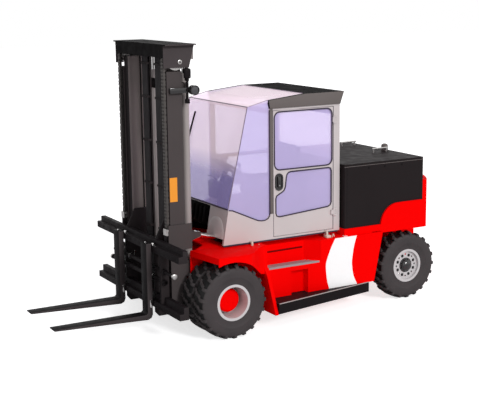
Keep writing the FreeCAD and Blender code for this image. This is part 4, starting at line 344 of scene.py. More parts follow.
class Finish:
    """A node tree built round one Principled shader."""

    def __init__(self, name, rough=0.5, metal=0.0, coat=0.0, gloss=0.5):
        self.material = bpy.data.materials.new(name)
        self.material.use_nodes = True
        self.tree = self.material.node_tree
        self.shader = self.tree.nodes["Principled BSDF"]
        self.shader.inputs["Roughness"].default_value = rough
        self.shader.inputs["Metallic"].default_value = metal
        self.shader.inputs["Coat Weight"].default_value = coat
        self.shader.inputs["Coat Roughness"].default_value = 0.08
        self.shader.inputs["Specular IOR Level"].default_value = gloss
        self.place = self.add("ShaderNodeTexCoord").outputs["Object"]

    def add(self, kind, operation=None, **values):
        """A node of this finish."""
        return node(self.tree, kind, operation, **values)

    def link(self, source, target):
        """Join two sockets; a target given by name is the shader's."""
        self.tree.links.new(source, self.shader.inputs[target] if isinstance(target, str) else target)

    def noise(self, scale, detail):
        """Noise in the object's own space."""
        item = self.add("ShaderNodeTexNoise", Scale=scale, Detail=detail)
        self.link(self.place, item.inputs["Vector"])
        return item.outputs["Fac"]

    def ramp(self, source, low, high, first, last):
        """Map a factor between two colours."""
        item = self.add("ShaderNodeValToRGB")
        for element, position, colour in zip(item.color_ramp.elements, (low, high), (first, last)):
            element.position = position
            element.color = (*colour, 1)
        self.link(source, item.inputs[0])
        return item.outputs[0]

    def span(self, source, low, high, first, last):
        """Map a factor between two numbers."""
        item = self.add("ShaderNodeMapRange")
        for key, value in zip(("From Min", "From Max", "To Min", "To Max"), (low, high, first, last)):
            item.inputs[key].default_value = value
        self.link(source, item.inputs["Value"])
        return item.outputs[0]

    def blend(self, share, first, last):
        """Mix two colours, each a socket or a constant."""
        item = self.add("ShaderNodeMix")
        item.data_type = "RGBA"
        self.link(share, item.inputs[0])
        for value, socket in ((first, item.inputs[6]), (last, item.inputs[7])):
            if isinstance(value, bpy.types.NodeSocket):
                self.link(value, socket)
            else:
                socket.default_value = (*value, 1)
        return item.outputs[2]

    def sideways(self, low, high):
        """How far a face looks to the machine's sides, from 0 to 1."""
        facing = self.add("ShaderNodeSeparateXYZ")
        self.link(self.add("ShaderNodeTexCoord").outputs["Normal"], facing.inputs[0])
        turned = self.add("ShaderNodeMath", "ABSOLUTE")
        self.link(facing.outputs["X"], turned.inputs[0])
        return self.span(turned.outputs[0], low, high, 0.0, 1.0)

    def bump(self, source, height, strength):
        """Relief of some height in metres."""
        item = self.add("ShaderNodeBump", Strength=strength, Distance=height)
        self.link(source, item.inputs["Height"])
        self.link(item.outputs[0], "Normal")


def painted(name, levels, rough=0.4, coat=0.0, shade=0.93, peel=0.0002, gloss=0.4, ahead=None):
    """Sprayed paint: slight cloudiness, orange peel and a coat; where 'ahead' is given, painted shade: faces
    that look ahead take that darker colour and faces to the sides the lighter, lit one.
    """
    look = Finish(name, rough=rough, coat=coat, gloss=gloss)
    colour = linear(levels)
    tone = look.ramp(look.noise(1.3, 4), 0.35, 0.65, dimmed(colour, shade), colour)
    # painted shade: faces that look ahead are darkened, faces to the sides keep the lighter, lit colour
    if ahead:
        tone = look.blend(look.sideways(0.35, 0.75), linear(ahead), tone)
    look.link(tone, "Base Color")
    look.link(look.span(look.noise(9, 3), 0.3, 0.7, rough * 0.85, rough * 1.15), "Roughness")
    look.bump(look.noise(420, 1), peel, 0.35)
    return look.material


def metal(name, levels, rough=0.3):
    """Bare metal with a fine grain."""
    look = Finish(name, rough=rough, metal=1.0)
    colour = linear(levels)
    grain = look.noise(60, 3)
    look.link(look.ramp(grain, 0.3, 0.7, dimmed(colour, 0.8), colour), "Base Color")
    look.link(look.span(grain, 0.2, 0.8, rough * 0.7, rough * 1.4), "Roughness")
    look.bump(grain, 0.0002, 0.2)
    return look.material


def rubber(name, levels, relief=0.0006):
    """Rubber: dull, faintly mottled, with a fine grain."""
    look = Finish(name, rough=0.68, gloss=0.35)
    colour = linear(levels)
    dust = look.noise(6, 5)
    look.link(look.ramp(dust, 0.35, 0.7, colour, dimmed(colour, 1.35)), "Base Color")
    look.link(look.span(dust, 0.3, 0.7, 0.6, 0.8), "Roughness")
    look.bump(look.noise(220, 2), relief, 0.4)
    return look.material


def plastic(name, levels):
    """Moulded plastic with a leather-like grain."""
    look = Finish(name, gloss=0.4)
    colour = linear(levels)
    look.link(look.ramp(look.noise(3, 3), 0.3, 0.7, dimmed(colour, 0.85), colour), "Base Color")
    cells = look.add("ShaderNodeTexVoronoi", Scale=520.0)
    look.link(look.place, cells.inputs["Vector"])
    look.bump(cells.outputs["Distance"], 0.0004, 0.4)
    return look.material


def glass(name, top, foot, side):
    """Tinted panes with painted reflection and light: in front a painted reflection, darker at the foot and
    fading upwards, at the sides one tint; tint, opacity and a glow change with height and facing.
    """
    look = Finish(name, rough=0.06, gloss=0.3)
    parts = look.add("ShaderNodeSeparateXYZ")
    look.link(look.place, parts.inputs[0])
    height = parts.outputs["Z"]
    # painted reflection: a darker violet foot fading to a lighter top
    reflection_band = look.ramp(look.span(height, REFLECTION_BAND_LOW, REFLECTION_BAND_HIGH, 0.0, 1.0), 0.0, 1.0, linear(foot), linear(top))
    beside = look.sideways(0.3, 0.7)
    tint = look.blend(beside, reflection_band, linear(side))
    total = look.add("ShaderNodeMath")
    look.link(look.span(height, REFLECTION_BAND_LOW, REFLECTION_BAND_HIGH, FOOT_ALPHA, TOP_ALPHA), total.inputs[0])
    look.link(look.span(height, ROOF_LOW, ROOF_HIGH, 0.0, ROOF_ALPHA), total.inputs[1])
    density = look.add("ShaderNodeMix")
    look.link(beside, density.inputs[0])
    look.link(total.outputs[0], density.inputs[2])
    density.inputs[3].default_value = SIDE_ALPHA
    look.link(density.outputs[0], "Alpha")
    look.link(tint, "Base Color")
    # painted light: the panes glow in their tint
    look.link(tint, "Emission Color")
    look.link(look.span(beside, 0.0, 1.0, FRONT_PAINTED_GLOW, SIDE_PAINTED_GLOW), "Emission Strength")
    look.bump(look.noise(2, 2), 0.0003, 0.1)
    return look.material


def woven(name, levels):
    """Coarse seat cloth."""
    look = Finish(name, rough=0.9, gloss=0.2)
    colour = linear(levels)
    both = look.add("ShaderNodeMath", "MAXIMUM")
    for socket, direction in zip(both.inputs, "XZ"):
        threads = look.add("ShaderNodeTexWave", Scale=160.0, Distortion=0.6)
        threads.bands_direction = direction
        look.link(look.place, threads.inputs["Vector"])
        look.link(threads.outputs["Fac"], socket)
    look.link(look.ramp(both.outputs[0], 0.2, 0.9, dimmed(colour, 0.55), colour), "Base Color")
    look.bump(both.outputs[0], 0.0006, 0.5)
    return look.material


MATERIALS = {
    "red": painted("RedPaint", (253, 0, 0), rough=0.55, shade=0.985, gloss=0.02),
    # painted shadow: dark red for the shade of the undercut over the step niches
    "red_shadow": painted("PaintedShadowRed", (110, 0, 0), rough=0.6, gloss=0.05),
    "white": painted("WhiteStripe", (255, 255, 255), shade=0.99, gloss=0.1),
    "cab": painted("CabGrey", (206, 197, 197), rough=0.42, coat=0.1),
    "fascia": painted("FasciaGrey", (110, 103, 101), rough=0.5, gloss=0.1),
    # mast, cap, carriage and fork: the first colour is a lit side face, the one given as ahead the painted
    # shade of faces that look ahead
    "mast": painted("MastGrey", (76, 70, 70), rough=0.55, gloss=0.08, ahead=(34, 29, 30)),
    # lighter than the mast: painted light on the inner rails, which the outer rails shade; ahead is the
    # painted shade of faces that look ahead
    "mast_inner_lit": painted("MastInnerLitGrey", (146, 136, 134), rough=0.55, gloss=0.08, ahead=(30, 26, 27)),
    "cap": painted("CapBlack", (74, 68, 69), rough=0.6, gloss=0.03, ahead=(6, 4, 5)),
    "carriage": painted("CarriageBlack", (48, 43, 44), rough=0.55, gloss=0.06, ahead=(24, 20, 22)),
    "fork": painted("ForkBlack", (66, 60, 61), rough=0.5, gloss=0.06, ahead=(12, 9, 11)),
    "black": painted("BlackPaint", (24, 20, 22), rough=0.5, gloss=0.08),
    "gloss_black": painted("GlossBlack", (22, 19, 21), rough=0.16, coat=0.6, peel=0.0001, gloss=0.6),
    "hood": painted("HoodBlack", (36, 31, 32), rough=0.55, gloss=0.06),
    "roof": painted("RoofBlack", (6, 4, 5), rough=0.7, gloss=0.02),
    "orange": painted("OrangePlate", (248, 158, 40), coat=0.1),
    "tube": painted("TubeGrey", (168, 160, 158), coat=0.1),
    "rim": painted("RimSilver", (204, 200, 201), rough=0.3, coat=0.3),
    "catch": painted("CatchBeige", (214, 204, 190), rough=0.5, coat=0.2),
    "tread": painted("TreadGrey", (160, 150, 152), rough=0.6),
    "pane_edge": painted("PaneEdge", (128, 112, 132), rough=0.3, coat=0.2),
    "lens": painted("LampLens", (58, 58, 62), rough=0.1, coat=0.9),
    "steel": metal("BrightSteel", (200, 197, 195)),
    "chrome": metal("Chrome", (235, 233, 232), rough=0.12),
    "chain": metal("ChainSteel", (92, 88, 86), rough=0.45),
    "tyre": rubber("TyreRubber", (54, 49, 50)),
    # near black: painted shade in the gaps between the tyres' lugs
    "groove_shade": rubber("TyreGrooveShade", (4, 3, 4)),
    "seal": rubber("SealRubber", (48, 40, 56), relief=0.0002),
    "hose": rubber("HoseRubber", (30, 27, 29), relief=0.0002),
    "plastic": plastic("BlackPlastic", (38, 34, 37)),
    # console, lining and cloth: lightened lilac-grey, partly their own colour, partly painted light for the
    # cab's inside, which the glass shades
    "console": plastic("ConsoleGrey", (140, 130, 150)),
    "lining": plastic("CabLining", (196, 186, 206)),
    "cloth": woven("SeatCloth", (112, 104, 130)),
    "glass": glass("TintedGlass", (255, 234, 246), (158, 146, 200), (214, 202, 246)),
}

DRESS = {   # the nodes that take each finish; a star stands for left and right
    "red": "frame fender_* side_body_* battery_tray counterweight drive_hub_*",
    "cab": "cab_shell door_frame_*",
    "glass": "cab_glass door_glass_*",
    "roof": "cab_roof",
    "black": "axles lower_steps knuckle_* hub_rear_* tilt_barrel_* lamp_arm",
    "hood": "hood hood_lid",
    "mast": "outer_mast",
    "mast_inner_lit": "inner_mast",
    "cap": "mast_cap",
    "carriage": "carriage",
    "fork": "fork_*",
    "orange": "orange_plate",
    "tube": "lift_barrels",
    "chrome": "lift_rods tilt_rod_*",
    "steel": "lid_handles cab_mounts chain_wheels",
    "chain": "chains_front chains_rear",
    "tread": "step_treads",
    "rim": "rims_front_* rim_rear_*",
    "tyre": "tyres_front_* tyre_rear_*",
    "plastic": "battery seat_base steering_wheel",
    "cloth": "seat",
}


def dress_nodes():
    """Give every CAD node its finish."""
    for look, names in DRESS.items():
        for name in names.split():
            for label in ("left", "right") if name.endswith("*") else ("",):
                slots = NODES[name.rstrip("*") + label].data.materials
                slots.clear()
                slots.append(MATERIALS[look])


# ---------------------------------------------------------------- wheels

TWIN_PLACES = (1.058, 0.783)      # middles of the outer and the inner front tyre
TWIN_DISC = 0.935                 # face of the twin rims' discs
REAR_X = 0.732
DRIVE_FACE = 1.046
TWIN_BOLTS, HUB_BOLTS, DOME_BOLTS, RIM_BOLTS = 0.156, 0.063, 0.0825, 0.128     # radii of bolt circles
VALVE_TURN = 0.7
VALVE_FOOT, VALVE_TIP = 0.172, 0.178
TYRE_RADIUS = 0.42
LUGS = 21
CREST_IN, CREST_DOWN = 0.005, 0.006
WALL = [(0.1068, 0.2065), (0.1088, 0.2100), (0.1085, 0.2240), (0.1100, 0.2400), (0.1140, 0.2600),
        (0.1185, 0.2820), (0.1202, 0.2860), (0.1202, 0.2920), (0.1200, 0.2960), (0.1213, 0.3180),
        (0.1208, 0.3400), (0.1180, 0.3620), (0.1120, 0.3800), (0.1010, 0.3900), (0.0700, 0.3940),
        (0.0350, 0.3950)]
LUG_INNER = [(0.002, 0.4196, 0.390, -0.030, 0.015), (0.022, 0.4195, 0.390, -0.024, 0.018),
             (0.046, 0.4190, 0.390, -0.010, 0.017)]
LUG_OUTER = [(0.056, 0.4184, 0.389, 0.010, 0.018), (0.090, 0.4150, 0.386, 0.014, 0.021),
             (0.108, 0.4080, 0.380, 0.014, 0.021), (0.1165, 0.3960, 0.370, 0.014, 0.019)]


def tread(shape, x, y):
    """A tyre: smooth walls with a raised ring, and two rows of slanted lugs half a pitch apart."""
    outline = WALL + [(0.0, 0.395)] + [(-along, radius) for along, radius in WALL[::-1]]
    shape.lathe("X", (x, y, WHEEL_Z), outline, steps=96)
    for index in range(LUGS * 2):
        side = 1 if index % 2 == 0 else -1
        turn = pi * index / LUGS
        for line in (LUG_INNER, LUG_OUTER):
            rings = []
            for along, top, foot, shift, half in line:
                ring = []
                for reach, radius in ((-half, foot), (-half, top - CREST_DOWN), (-half + CREST_IN, top),
                                      (half - CREST_IN, top), (half, top - CREST_DOWN), (half, foot)):
                    angle = turn + (shift * side + reach) / TYRE_RADIUS
                    ring.append((x + side * along, y + radius * sin(angle), WHEEL_Z - radius * cos(angle)))
                rings.append(ring)
            shape.skin(rings)


def groove_shade(shape, x, y):
    """The floor between a tyre's lugs, drawn in near black as painted shade."""
    shape.lathe("X", (x, y, WHEEL_Z), [(-0.102, 0.3905), (-0.070, 0.3955), (0.0, 0.3968), (0.070, 0.3955),
                                       (0.102, 0.3905), (0.070, 0.3925), (-0.070, 0.3925)], steps=96)


def nuts(shape, x, y, circle, count, size, out, turn=0.0):
    """A ring of six-sided nuts with their washers and stud ends on a wheel's disc."""
    for index in range(count):
        angle = turn + 2 * pi * index / count
        shape.turned("X", (x, y + circle * sin(angle), WHEEL_Z + circle * cos(angle)),
                     [(0, size * 1.25), (0.003, size * 1.25), (0.003, size), (out * 0.85, size),
                      (out, size * 0.8), (out, size * 0.5), (out * 1.5, size * 0.45)], 6)


def tyres(side, label):
    """Treads of the twin front tyres and of the rear tyre, and groove floors in painted shade."""
    for draw, places, y, name, look, body, replaced in (
            (tread, TWIN_PLACES, 0.0, "front_tyre_treads", "tyre", "front_wheels", ["tyres_front"]),
            (groove_shade, TWIN_PLACES, 0.0, "front_tyre_groove_shade", "groove_shade", "front_wheels", []),
            (groove_shade, (REAR_X,), REAR, "rear_tyre_groove_shade", "groove_shade", "rear_wheel", []),
            (tread, (REAR_X,), REAR, "rear_tyre_tread", "tyre", "rear_wheel", ["tyre_rear"])):
        shape = Shape()
        for x in places:
            draw(shape, side * x, y)
        shape.piece(f"{name}_{label}", look, f"{body}_{label}",
                    replaces=[f"{solid}_{label}" for solid in replaced])


def front_wheel(side, label):
    """Nuts and valves on the twin rims' discs, and the drive hub's cover."""
    rim_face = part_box("rims_front_left")[1].x
    studs = Shape(side)
    nuts(studs, TWIN_DISC, 0.0, TWIN_BOLTS, 12, size=0.013, out=0.016)
    for turn in (VALVE_TURN, VALVE_TURN + pi):
        studs.tube([(x, radius * sin(turn), WHEEL_Z + radius * cos(turn))
                    for x, radius in ((TWIN_DISC + 0.004, VALVE_FOOT), (rim_face - 0.03, VALVE_TIP))],
                   0.004, smooth=0)
    studs.piece(f"front_wheel_nuts_{label}", "steel", f"front_wheels_{label}")
    cover = Shape(side)
    cover.lathe("X", (DRIVE_FACE, 0.0, WHEEL_Z),
                [(0.0, AXIS), (0.006, AXIS), (0.006, 0.024), (0.002, 0.028), (0.002, 0.098),
                 (0.005, 0.102), (0.005, 0.112), (0.0, 0.116), (-0.002, 0.116), (-0.002, AXIS)])
    nuts(cover, DRIVE_FACE + 0.001, 0.0, HUB_BOLTS, 3, size=0.008, out=0.006)
    cover.piece(f"drive_hub_cover_{label}", "red", f"front_wheels_{label}")


def rear_wheel(side, label):
    """The rear hub's stepped dome with its bolts, and the nuts on the rim's disc."""
    hub_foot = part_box("hub_rear_left")[0].x
    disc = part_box("rim_rear_left")[1].x - 0.034
    dome = Shape(side)
    dome.lathe("X", (0, REAR, WHEEL_Z),
               [(hub_foot, 0.060), (hub_foot, 0.0915), (0.806, 0.0915), (0.812, 0.089), (0.814, 0.076),
                (0.826, 0.073), (0.842, 0.066), (0.853, 0.052), (0.859, 0.034), (0.8618, 0.012),
                (0.862, AXIS), (0.80, AXIS), (0.80, 0.060)])
    nuts(dome, 0.8135, REAR, DOME_BOLTS, 8, size=0.005, out=0.005, turn=pi / 8)
    dome.piece(f"rear_hub_dome_{label}", "gloss_black", f"rear_wheel_{label}",
               replaces=[f"hub_rear_{label}"])
    rim = Shape(side)
    for index in range(8):
        angle = pi / 8 + pi * index / 4
        rim.turned("X", (disc, REAR + RIM_BOLTS * sin(angle), WHEEL_Z + RIM_BOLTS * cos(angle)),
                   [(-0.004, 0.020), (0.002, 0.020), (0.002, 0.013), (0.010, 0.011), (0.014, 0.008)], 12)
    rim.piece(f"rear_wheel_nuts_{label}", "gloss_black", f"rear_wheel_{label}")


def wheels():
    """Tyres, nuts, valves and hub covers on both sides."""
    for side, label in SIDES:
        tyres(side, label)
        front_wheel(side, label)
        rear_wheel(side, label)


# ---------------------------------------------------------------- cab outside

PANE_X = 0.7305
DOOR_UPPER = rounded((0.792, 1.764), (1.580, 2.431), 0.07)
DOOR_LOWER = [(0.857, 1.215), (1.522, 1.266), (1.558, 1.285), (1.572, 1.316), (1.572, 1.690),
              (1.562, 1.722), (1.534, 1.732), (1.010, 1.732), (0.978, 1.724), (0.957, 1.700),
              (0.948, 1.660), (0.936, 1.560), (0.918, 1.520), (0.890, 1.500), (0.845, 1.478),
              (0.818, 1.462), (0.807, 1.432), (0.807, 1.262), (0.818, 1.229)]
SIDE_PANE = [(0.190, 1.361), (0.236, 1.354), (0.383, 1.288), (0.531, 1.220), (0.570, 1.204),
             (0.610, 1.196), (0.660, 1.197), (0.700, 1.212), (0.722, 1.240), (0.727, 1.275),
             (0.729, 1.80), (0.729, 2.46)]
PANEL = ((0.113, 0.963), (0.184, 1.362))       # y and z of the front panel's foot and top
SCREEN = ((0.184, 1.362), (0.450, 2.510))      # and of the windscreen's
BULGE_X, BULGE_FOOT = 0.50, 1.03
BULGE_HEIGHT, BULGE_HALF, BULGE_DEPTH = 0.235, 0.20, 0.020


def leaning(face, z, out=0.0):
    """The y of a leaning face at a height, or of a place some way in front of it."""
    (foot_y, foot_z), (top_y, top_z) = face
    return foot_y + (top_y - foot_y) / (top_z - foot_z) * (z - foot_z) - out


def pane_seals(side, label):
    """Seals round the door's panes, under the front side pane and in the gaps beside the door."""
    door = Shape(side)
    for outline in (DOOR_UPPER, DOOR_LOWER):
        door.ring([(PANE_X, y, z) for y, z in outline], 0.008)
    door.piece(f"door_seals_{label}", "seal", f"door_{label}")
    fixed = Shape(side)
    fixed.ring([(PANE_X, y, z) for y, z in SIDE_PANE], 0.007, closed=False)
    for y in (0.7755, 1.6005):
        fixed.block((PANE_X - 0.02, y - 0.0022, 0.986), (PANE_X, y + 0.0022, 2.451))
    fixed.piece(f"side_pane_seal_{label}", "seal", "chassis")


def roof_fascia(side, label):
    """Dark trims on the post ahead of the door and along the roof."""
    trim = Shape(side)
    trim.block((PANE_X, 0.734, 1.262), (PANE_X + 0.003, 0.772, 2.474), 0.001)
    trim.prism("YZ", [(0.7305, 2.4765), (1.679, 2.4765), (1.737, 2.6195), (1.20, 2.6195), (0.7128, 2.5702)],
               0.7445, 0.7485, round_off=0.0015)
    trim.piece(f"roof_fascia_{label}", "fascia", "chassis")


def door_pull(side, label):
    """A cup in the door with a grip across it."""
    pull = Shape(side)
    cup = rounded((0.796, 1.523), (0.904, 1.725), 0.053, 8)
    well = rounded((0.812, 1.541), (0.888, 1.707), 0.037, 8)
    brim = [(y * 0.97 + 0.03 * 0.85, z * 0.98 + 0.02 * 1.624) for y, z in cup]
    pull.skin([[(x, y, z) for y, z in outline]
               for x, outline in ((0.729, cup), (0.739, cup), (0.742, brim), (0.740, well), (0.731, well))])
    pull.prism("YZ", rounded((0.829, 1.560), (0.871, 1.690), 0.019, 6), 0.731, 0.7465, round_off=0.004)
    pull.piece(f"door_pull_{label}", "gloss_black", f"door_{label}")


def cab_outside():
    """Seals, fascias, door pulls and locks on both sides."""
    for side, label in SIDES:
        pane_seals(side, label)
        roof_fascia(side, label)
        door_pull(side, label)
        foot = Shape(side)
        foot.prism("YZ", [(0.118, 0.9630), (0.112, 0.9465), (1.664, 0.9465), (1.664, 0.9630)],
                   0.722, 0.734, round_off=0.002)
        foot.piece(f"cab_foot_seal_{label}", "seal", "chassis")
        lock = Shape(side)
        lock.turned("X", (0.7466, 0.850, 1.585), [(0.0, 0.008), (0.0025, 0.007)], 20)
        lock.piece(f"door_lock_{label}", "steel", f"door_{label}")


def cover_plate(shape, low, high, out, back, x, half, round_off):
    """A plate on the front panel, between two heights, that stands out and reaches back into it."""
    outline = [(leaning(PANEL, z, step), z) for z, step in ((low, out), (high, out), (high, -back),
                                                            (low, -back))]
    shape.prism("YZ", outline, x - half, x + half, round_off)


def front_bulge():
    """The shallow round-topped bulge in the front panel, on the left."""
    rows = []
    for step in range(11):
        share = step / 10
        height = BULGE_FOOT + BULGE_HEIGHT * share
        half = max(BULGE_HALF * (1 - share ** 2.2) ** 0.5, 0.004)
        depth = BULGE_DEPTH * (1 - share ** 2) ** 0.5
        angles = [pi * part / 16 for part in range(17)]
        rows.append([(BULGE_X - half * cos(angle), leaning(PANEL, height, depth * sin(angle) - 0.002), height)
                     for angle in angles])
    bulge = Shape()
    bulge.skin(rows, closed=False, caps=False)
    bulge.piece("front_panel_bulge", "cab", "chassis", sharp=60)


def cab_front():
    """Windscreen trim, dark bulkhead cover, the bulge beside it, wiper and the roof pane's edges."""
    seal = Shape()
    seal.ring([(-0.715, 0.186, 1.366), (0.715, 0.186, 1.366)], 0.010, closed=False)
    seal.piece("windscreen_foot_seal", "seal", "chassis")
    edges = Shape()
    for edges.side in BOTH:
        edges.ring([(0.716, 0.186, 1.372), (0.716, 0.450, 2.508)], 0.005, closed=False)
    edges.ring([(-0.716, 0.450, 2.510), (0.716, 0.450, 2.510)], 0.006, closed=False)
    edges.piece("windscreen_edges", "pane_edge", "chassis")
    cover = Shape()
    cover_plate(cover, 1.120, 1.352, 0.003, 0.002, 0.0, 0.30, 0.001)
    for x in (-0.2, -0.1, 0.0, 0.1, 0.2):
        cover_plate(cover, 1.15, 1.32, 0.012, 0.0, x, 0.03, 0.004)
    cover.piece("bulkhead_cover", "roof", "chassis")
    front_bulge()
    wiper = Shape()
    for line, radius in (([(-0.50, 1.395, 0.016), (-0.505, 1.70, 0.022), (-0.50, 2.18, 0.020)], 0.008),
                         ([(-0.535, 1.95, 0.010), (-0.50, 2.18, 0.014), (-0.476, 2.36, 0.010)], 0.011)):
        wiper.tube([(x, leaning(SCREEN, z, out), z) for x, z, out in line], radius)
    wiper.turned("Y", (-0.50, leaning(SCREEN, 1.395, 0.012), 1.395), [(-0.012, 0.020), (0.01, 0.022)], 16)
    wiper.piece("wiper", "black", "chassis")
    roof = Shape()
    for roof.side in BOTH:
        roof.ring([(0.722, 0.466, 2.513), (0.722, 0.712, 2.572)], 0.004, closed=False)
    roof.ring([(-0.695, 1.197, 2.6205), (0.695, 1.197, 2.6205)], 0.0035, closed=False)
    roof.piece("roof_glass_edges", "pane_edge", "chassis")


# ---------------------------------------------------------------- cab inside

PAD_VOXEL = 0.012
PAD_PRESSURE = 4.0
PAD_FRAMES = 20
PAD_GROWTH = 0.024      # how far cloth pressure may move a point


def pad(name, outline, half):
    """A stuffed cloth pad of the seat: an outline in the YZ plane, drawn out along X and swollen."""
    shape = Shape()
    shape.prism("YZ", outline, -half, half, round_off=0.02, segments=3)
    item = shape.piece(name, "cloth", "chassis", sharp=180)
    swell(item)
    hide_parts("seat")


def swell(item):
    """Inflate a closed mesh with cloth pressure, and keep the result."""
    spot = bpy.data.objects.new(item.name + "_pad", item.data.copy())
    bpy.context.scene.collection.objects.link(spot)
    for other in bpy.context.selected_objects:
        other.select_set(False)
    bpy.context.view_layer.objects.active = spot
    spot.select_set(True)
    remesh = spot.modifiers.new("Remesh", "REMESH")
    remesh.mode = "VOXEL"
    remesh.voxel_size = PAD_VOXEL
    bpy.ops.object.modifier_apply(modifier="Remesh")
    rest = [vert.co.copy() for vert in spot.data.vertices]
    cloth = spot.modifiers.new("Cloth", "CLOTH")
    cloth.settings.use_pressure = True
    cloth.settings.uniform_pressure_force = PAD_PRESSURE
    cloth.settings.effector_weights.gravity = 0.0
    for frame_number in range(1, PAD_FRAMES + 1):
        bpy.context.scene.frame_set(frame_number)
    bpy.ops.object.modifier_apply(modifier="Cloth")
    for vert, start in zip(spot.data.vertices, rest):
        move = vert.co - start
        if move.length > PAD_GROWTH:
            vert.co = start + move.normalized() * PAD_GROWTH
    bpy.context.scene.frame_set(1)
    finer = spot.modifiers.new("Finer", "SUBSURF")
    finer.levels = 1
    bpy.ops.object.modifier_apply(modifier="Finer")
    spot.data.polygons.foreach_set("use_smooth", [True] * len(spot.data.polygons))
    item.data = spot.data
    bpy.data.objects.remove(spot)


def seat():
    """Cushion and back rest, with the shell under and behind them and its two arm rests."""
    low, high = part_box("seat")
    front, rear, top = low.y - FRONT, high.y - FRONT, high.z
    pad("seat_cushion", [(front - 0.075, 1.405), (front - 0.045, 1.365), (front + 0.02, 1.345),
                         (front + 0.46, 1.335), (front + 0.475, 1.40), (front + 0.40, 1.425),
                         (front + 0.10, 1.455), (front - 0.03, 1.455), (front - 0.07, 1.435)], 0.225)
    foot = front + 0.455
    pad("seat_back_rest", [(foot, top - 0.56), (foot + 0.06, top - 0.56), (foot + 0.088, top - 0.15),
                           (foot + 0.075, top - 0.05), (foot + 0.03, top - 0.05),
                           (foot + 0.012, top - 0.15)], 0.205)
    shell = Shape()
    shell.block((-0.235, front + 0.02, top - 0.715), (0.235, front + 0.50, top - 0.70), 0.005)
    shell.prism("YZ", [(rear - 0.028, top - 0.58), (rear - 0.012, top - 0.58), (rear - 0.004, top - 0.10),
                       (rear - 0.02, top - 0.10)], -0.20, 0.20, round_off=0.006)
    for shell.side in BOTH:
        shell.prism("YZ", rounded((front + 0.16, top - 0.50), (front + 0.47, top - 0.455), 0.02, 4),
                    0.236, 0.250, round_off=0.006)
    shell.piece("seat_shell", "plastic", "chassis")


WHEEL_TILT = radians(32)


def on_wheel(radius, angle, y, z):
    """A point of the tilted steering wheel, at a radius about a middle."""
    return (radius * cos(angle), y + radius * sin(angle) * cos(WHEEL_TILT),
            z - radius * sin(angle) * sin(WHEEL_TILT))


def steering_wheel():
    """Tilted rim with three spokes, hub and column."""
    wheel = Shape()
    wheel.ring([on_wheel(0.19, 2 * pi * index / 40, 0.565, 1.735) for index in range(40)], 0.0165, sides=12)
    for turn in (pi / 2 + 0.2, -0.5, pi + 0.1):
        wheel.tube([(0, 0.555, 1.715), on_wheel(0.10, turn, 0.560, 1.720),
                    on_wheel(0.185, turn, 0.565, 1.735)], 0.012)
    wheel.tube([(0, 0.470, 1.05), (0, 0.500, 1.40), (0, 0.530, 1.62), (0, 0.572, 1.742)], 0.034, sides=16)
    wheel.tube([(0, 0.560, 1.722), (0, 0.575, 1.748)], 0.055, sides=20, smooth=0)
    wheel.piece("steering_wheel_rim", "plastic", "chassis", replaces=["steering_wheel"])


def levers_and_pedals():
    """Three levers on the side console, three pedals and the column's stalk."""
    levers = Shape()
    for x in (-0.39, -0.36, -0.33):
        levers.tube([(x, 0.95, 1.57), (x, 0.938, 1.66)], 0.005, smooth=0)
        levers.lathe("Z", (x, 0.936, 1.66), [(0, AXIS), (0, 0.010), (0.018, 0.015), (0.034, 0.012),
                                             (0.040, AXIS)], steps=14)
    for x in (-0.14, 0.14, 0.24):
        levers.prism("YZ", [(0.245, 1.150), (0.262, 1.140), (0.285, 1.222), (0.268, 1.232)],
                     x - 0.035, x + 0.035, round_off=0.004)
    levers.tube([(-0.05, 0.47, 1.56), (-0.15, 0.46, 1.60), (-0.25, 0.45, 1.60)], 0.006)
    levers.piece("levers_and_pedals", "plastic", "chassis")


def cab_inside():
    """Dashboard, steering wheel, side console, levers, pedals, rear shelf, mat and roof header."""
    desk = Shape()
    desk.prism("YZ", [(0.450, 1.13), (0.585, 1.06), (0.610, 1.42), (0.615, 1.60), (0.560, 1.64),
                      (0.500, 1.60), (0.450, 1.42)], -0.055, 0.055, round_off=0.012)
    desk.prism("YZ", [(0.400, 1.36), (0.470, 1.35), (0.480, 1.50), (0.440, 1.58), (0.395, 1.56)],
               -0.17, 0.17, round_off=0.014)
    desk.piece("dash_console", "plastic", "chassis")
    steering_wheel()
    console = Shape()
    console.prism("YZ", [(0.86, 1.44), (1.34, 1.44), (1.34, 1.52), (1.12, 1.54), (0.90, 1.60), (0.86, 1.585)],
                  -0.42, -0.30, round_off=0.014)
    console.block((-0.41, 0.98, 0.985), (-0.32, 1.26, 1.44), 0.01)
    console.piece("side_console", "console", "chassis")
    levers_and_pedals()
    shelf = Shape()
    shelf.block((-0.55, 1.60, 1.30), (0.55, 1.655, 1.56), 0.015)
    shelf.block((-0.69, 1.55, 2.36), (0.69, 1.654, 2.46), 0.012)
    shelf.piece("rear_shelf", "lining", "chassis")
    mat = Shape()
    mat.block((-0.66, 0.66, 0.978), (0.66, 1.60, 0.984), 0.002)
    for index in range(14):
        mat.block((-0.62 + 0.09 * index, 0.70, 0.984), (-0.60 + 0.09 * index, 1.56, 0.988), 0.0015, 1)
    mat.piece("floor_mat", "seal", "chassis")
    header = Shape()
    header.prism("YZ", [(0.735, 2.506), (0.755, 2.506), (0.757, 2.522), (0.737, 2.522)], -0.66, 0.66,
                 round_off=0.003)
    header.piece("roof_header", "lining", "chassis")


# ---------------------------------------------------------------- mast

CHAIN_X = 0.586
LINK_PITCH = 0.038
LINK_RADIUS = 0.015
LINK_WAIST = 0.78          # a link's half width at its middle, as a share of its radius
PLATE_HALF = 0.0035
PLATE_SETS = ((-0.0245, -0.0085, 0.0085, 0.0245), (-0.0165, 0.0, 0.0165))
WHEEL_TRACK = 0.118        # the chain's radius over its wheel


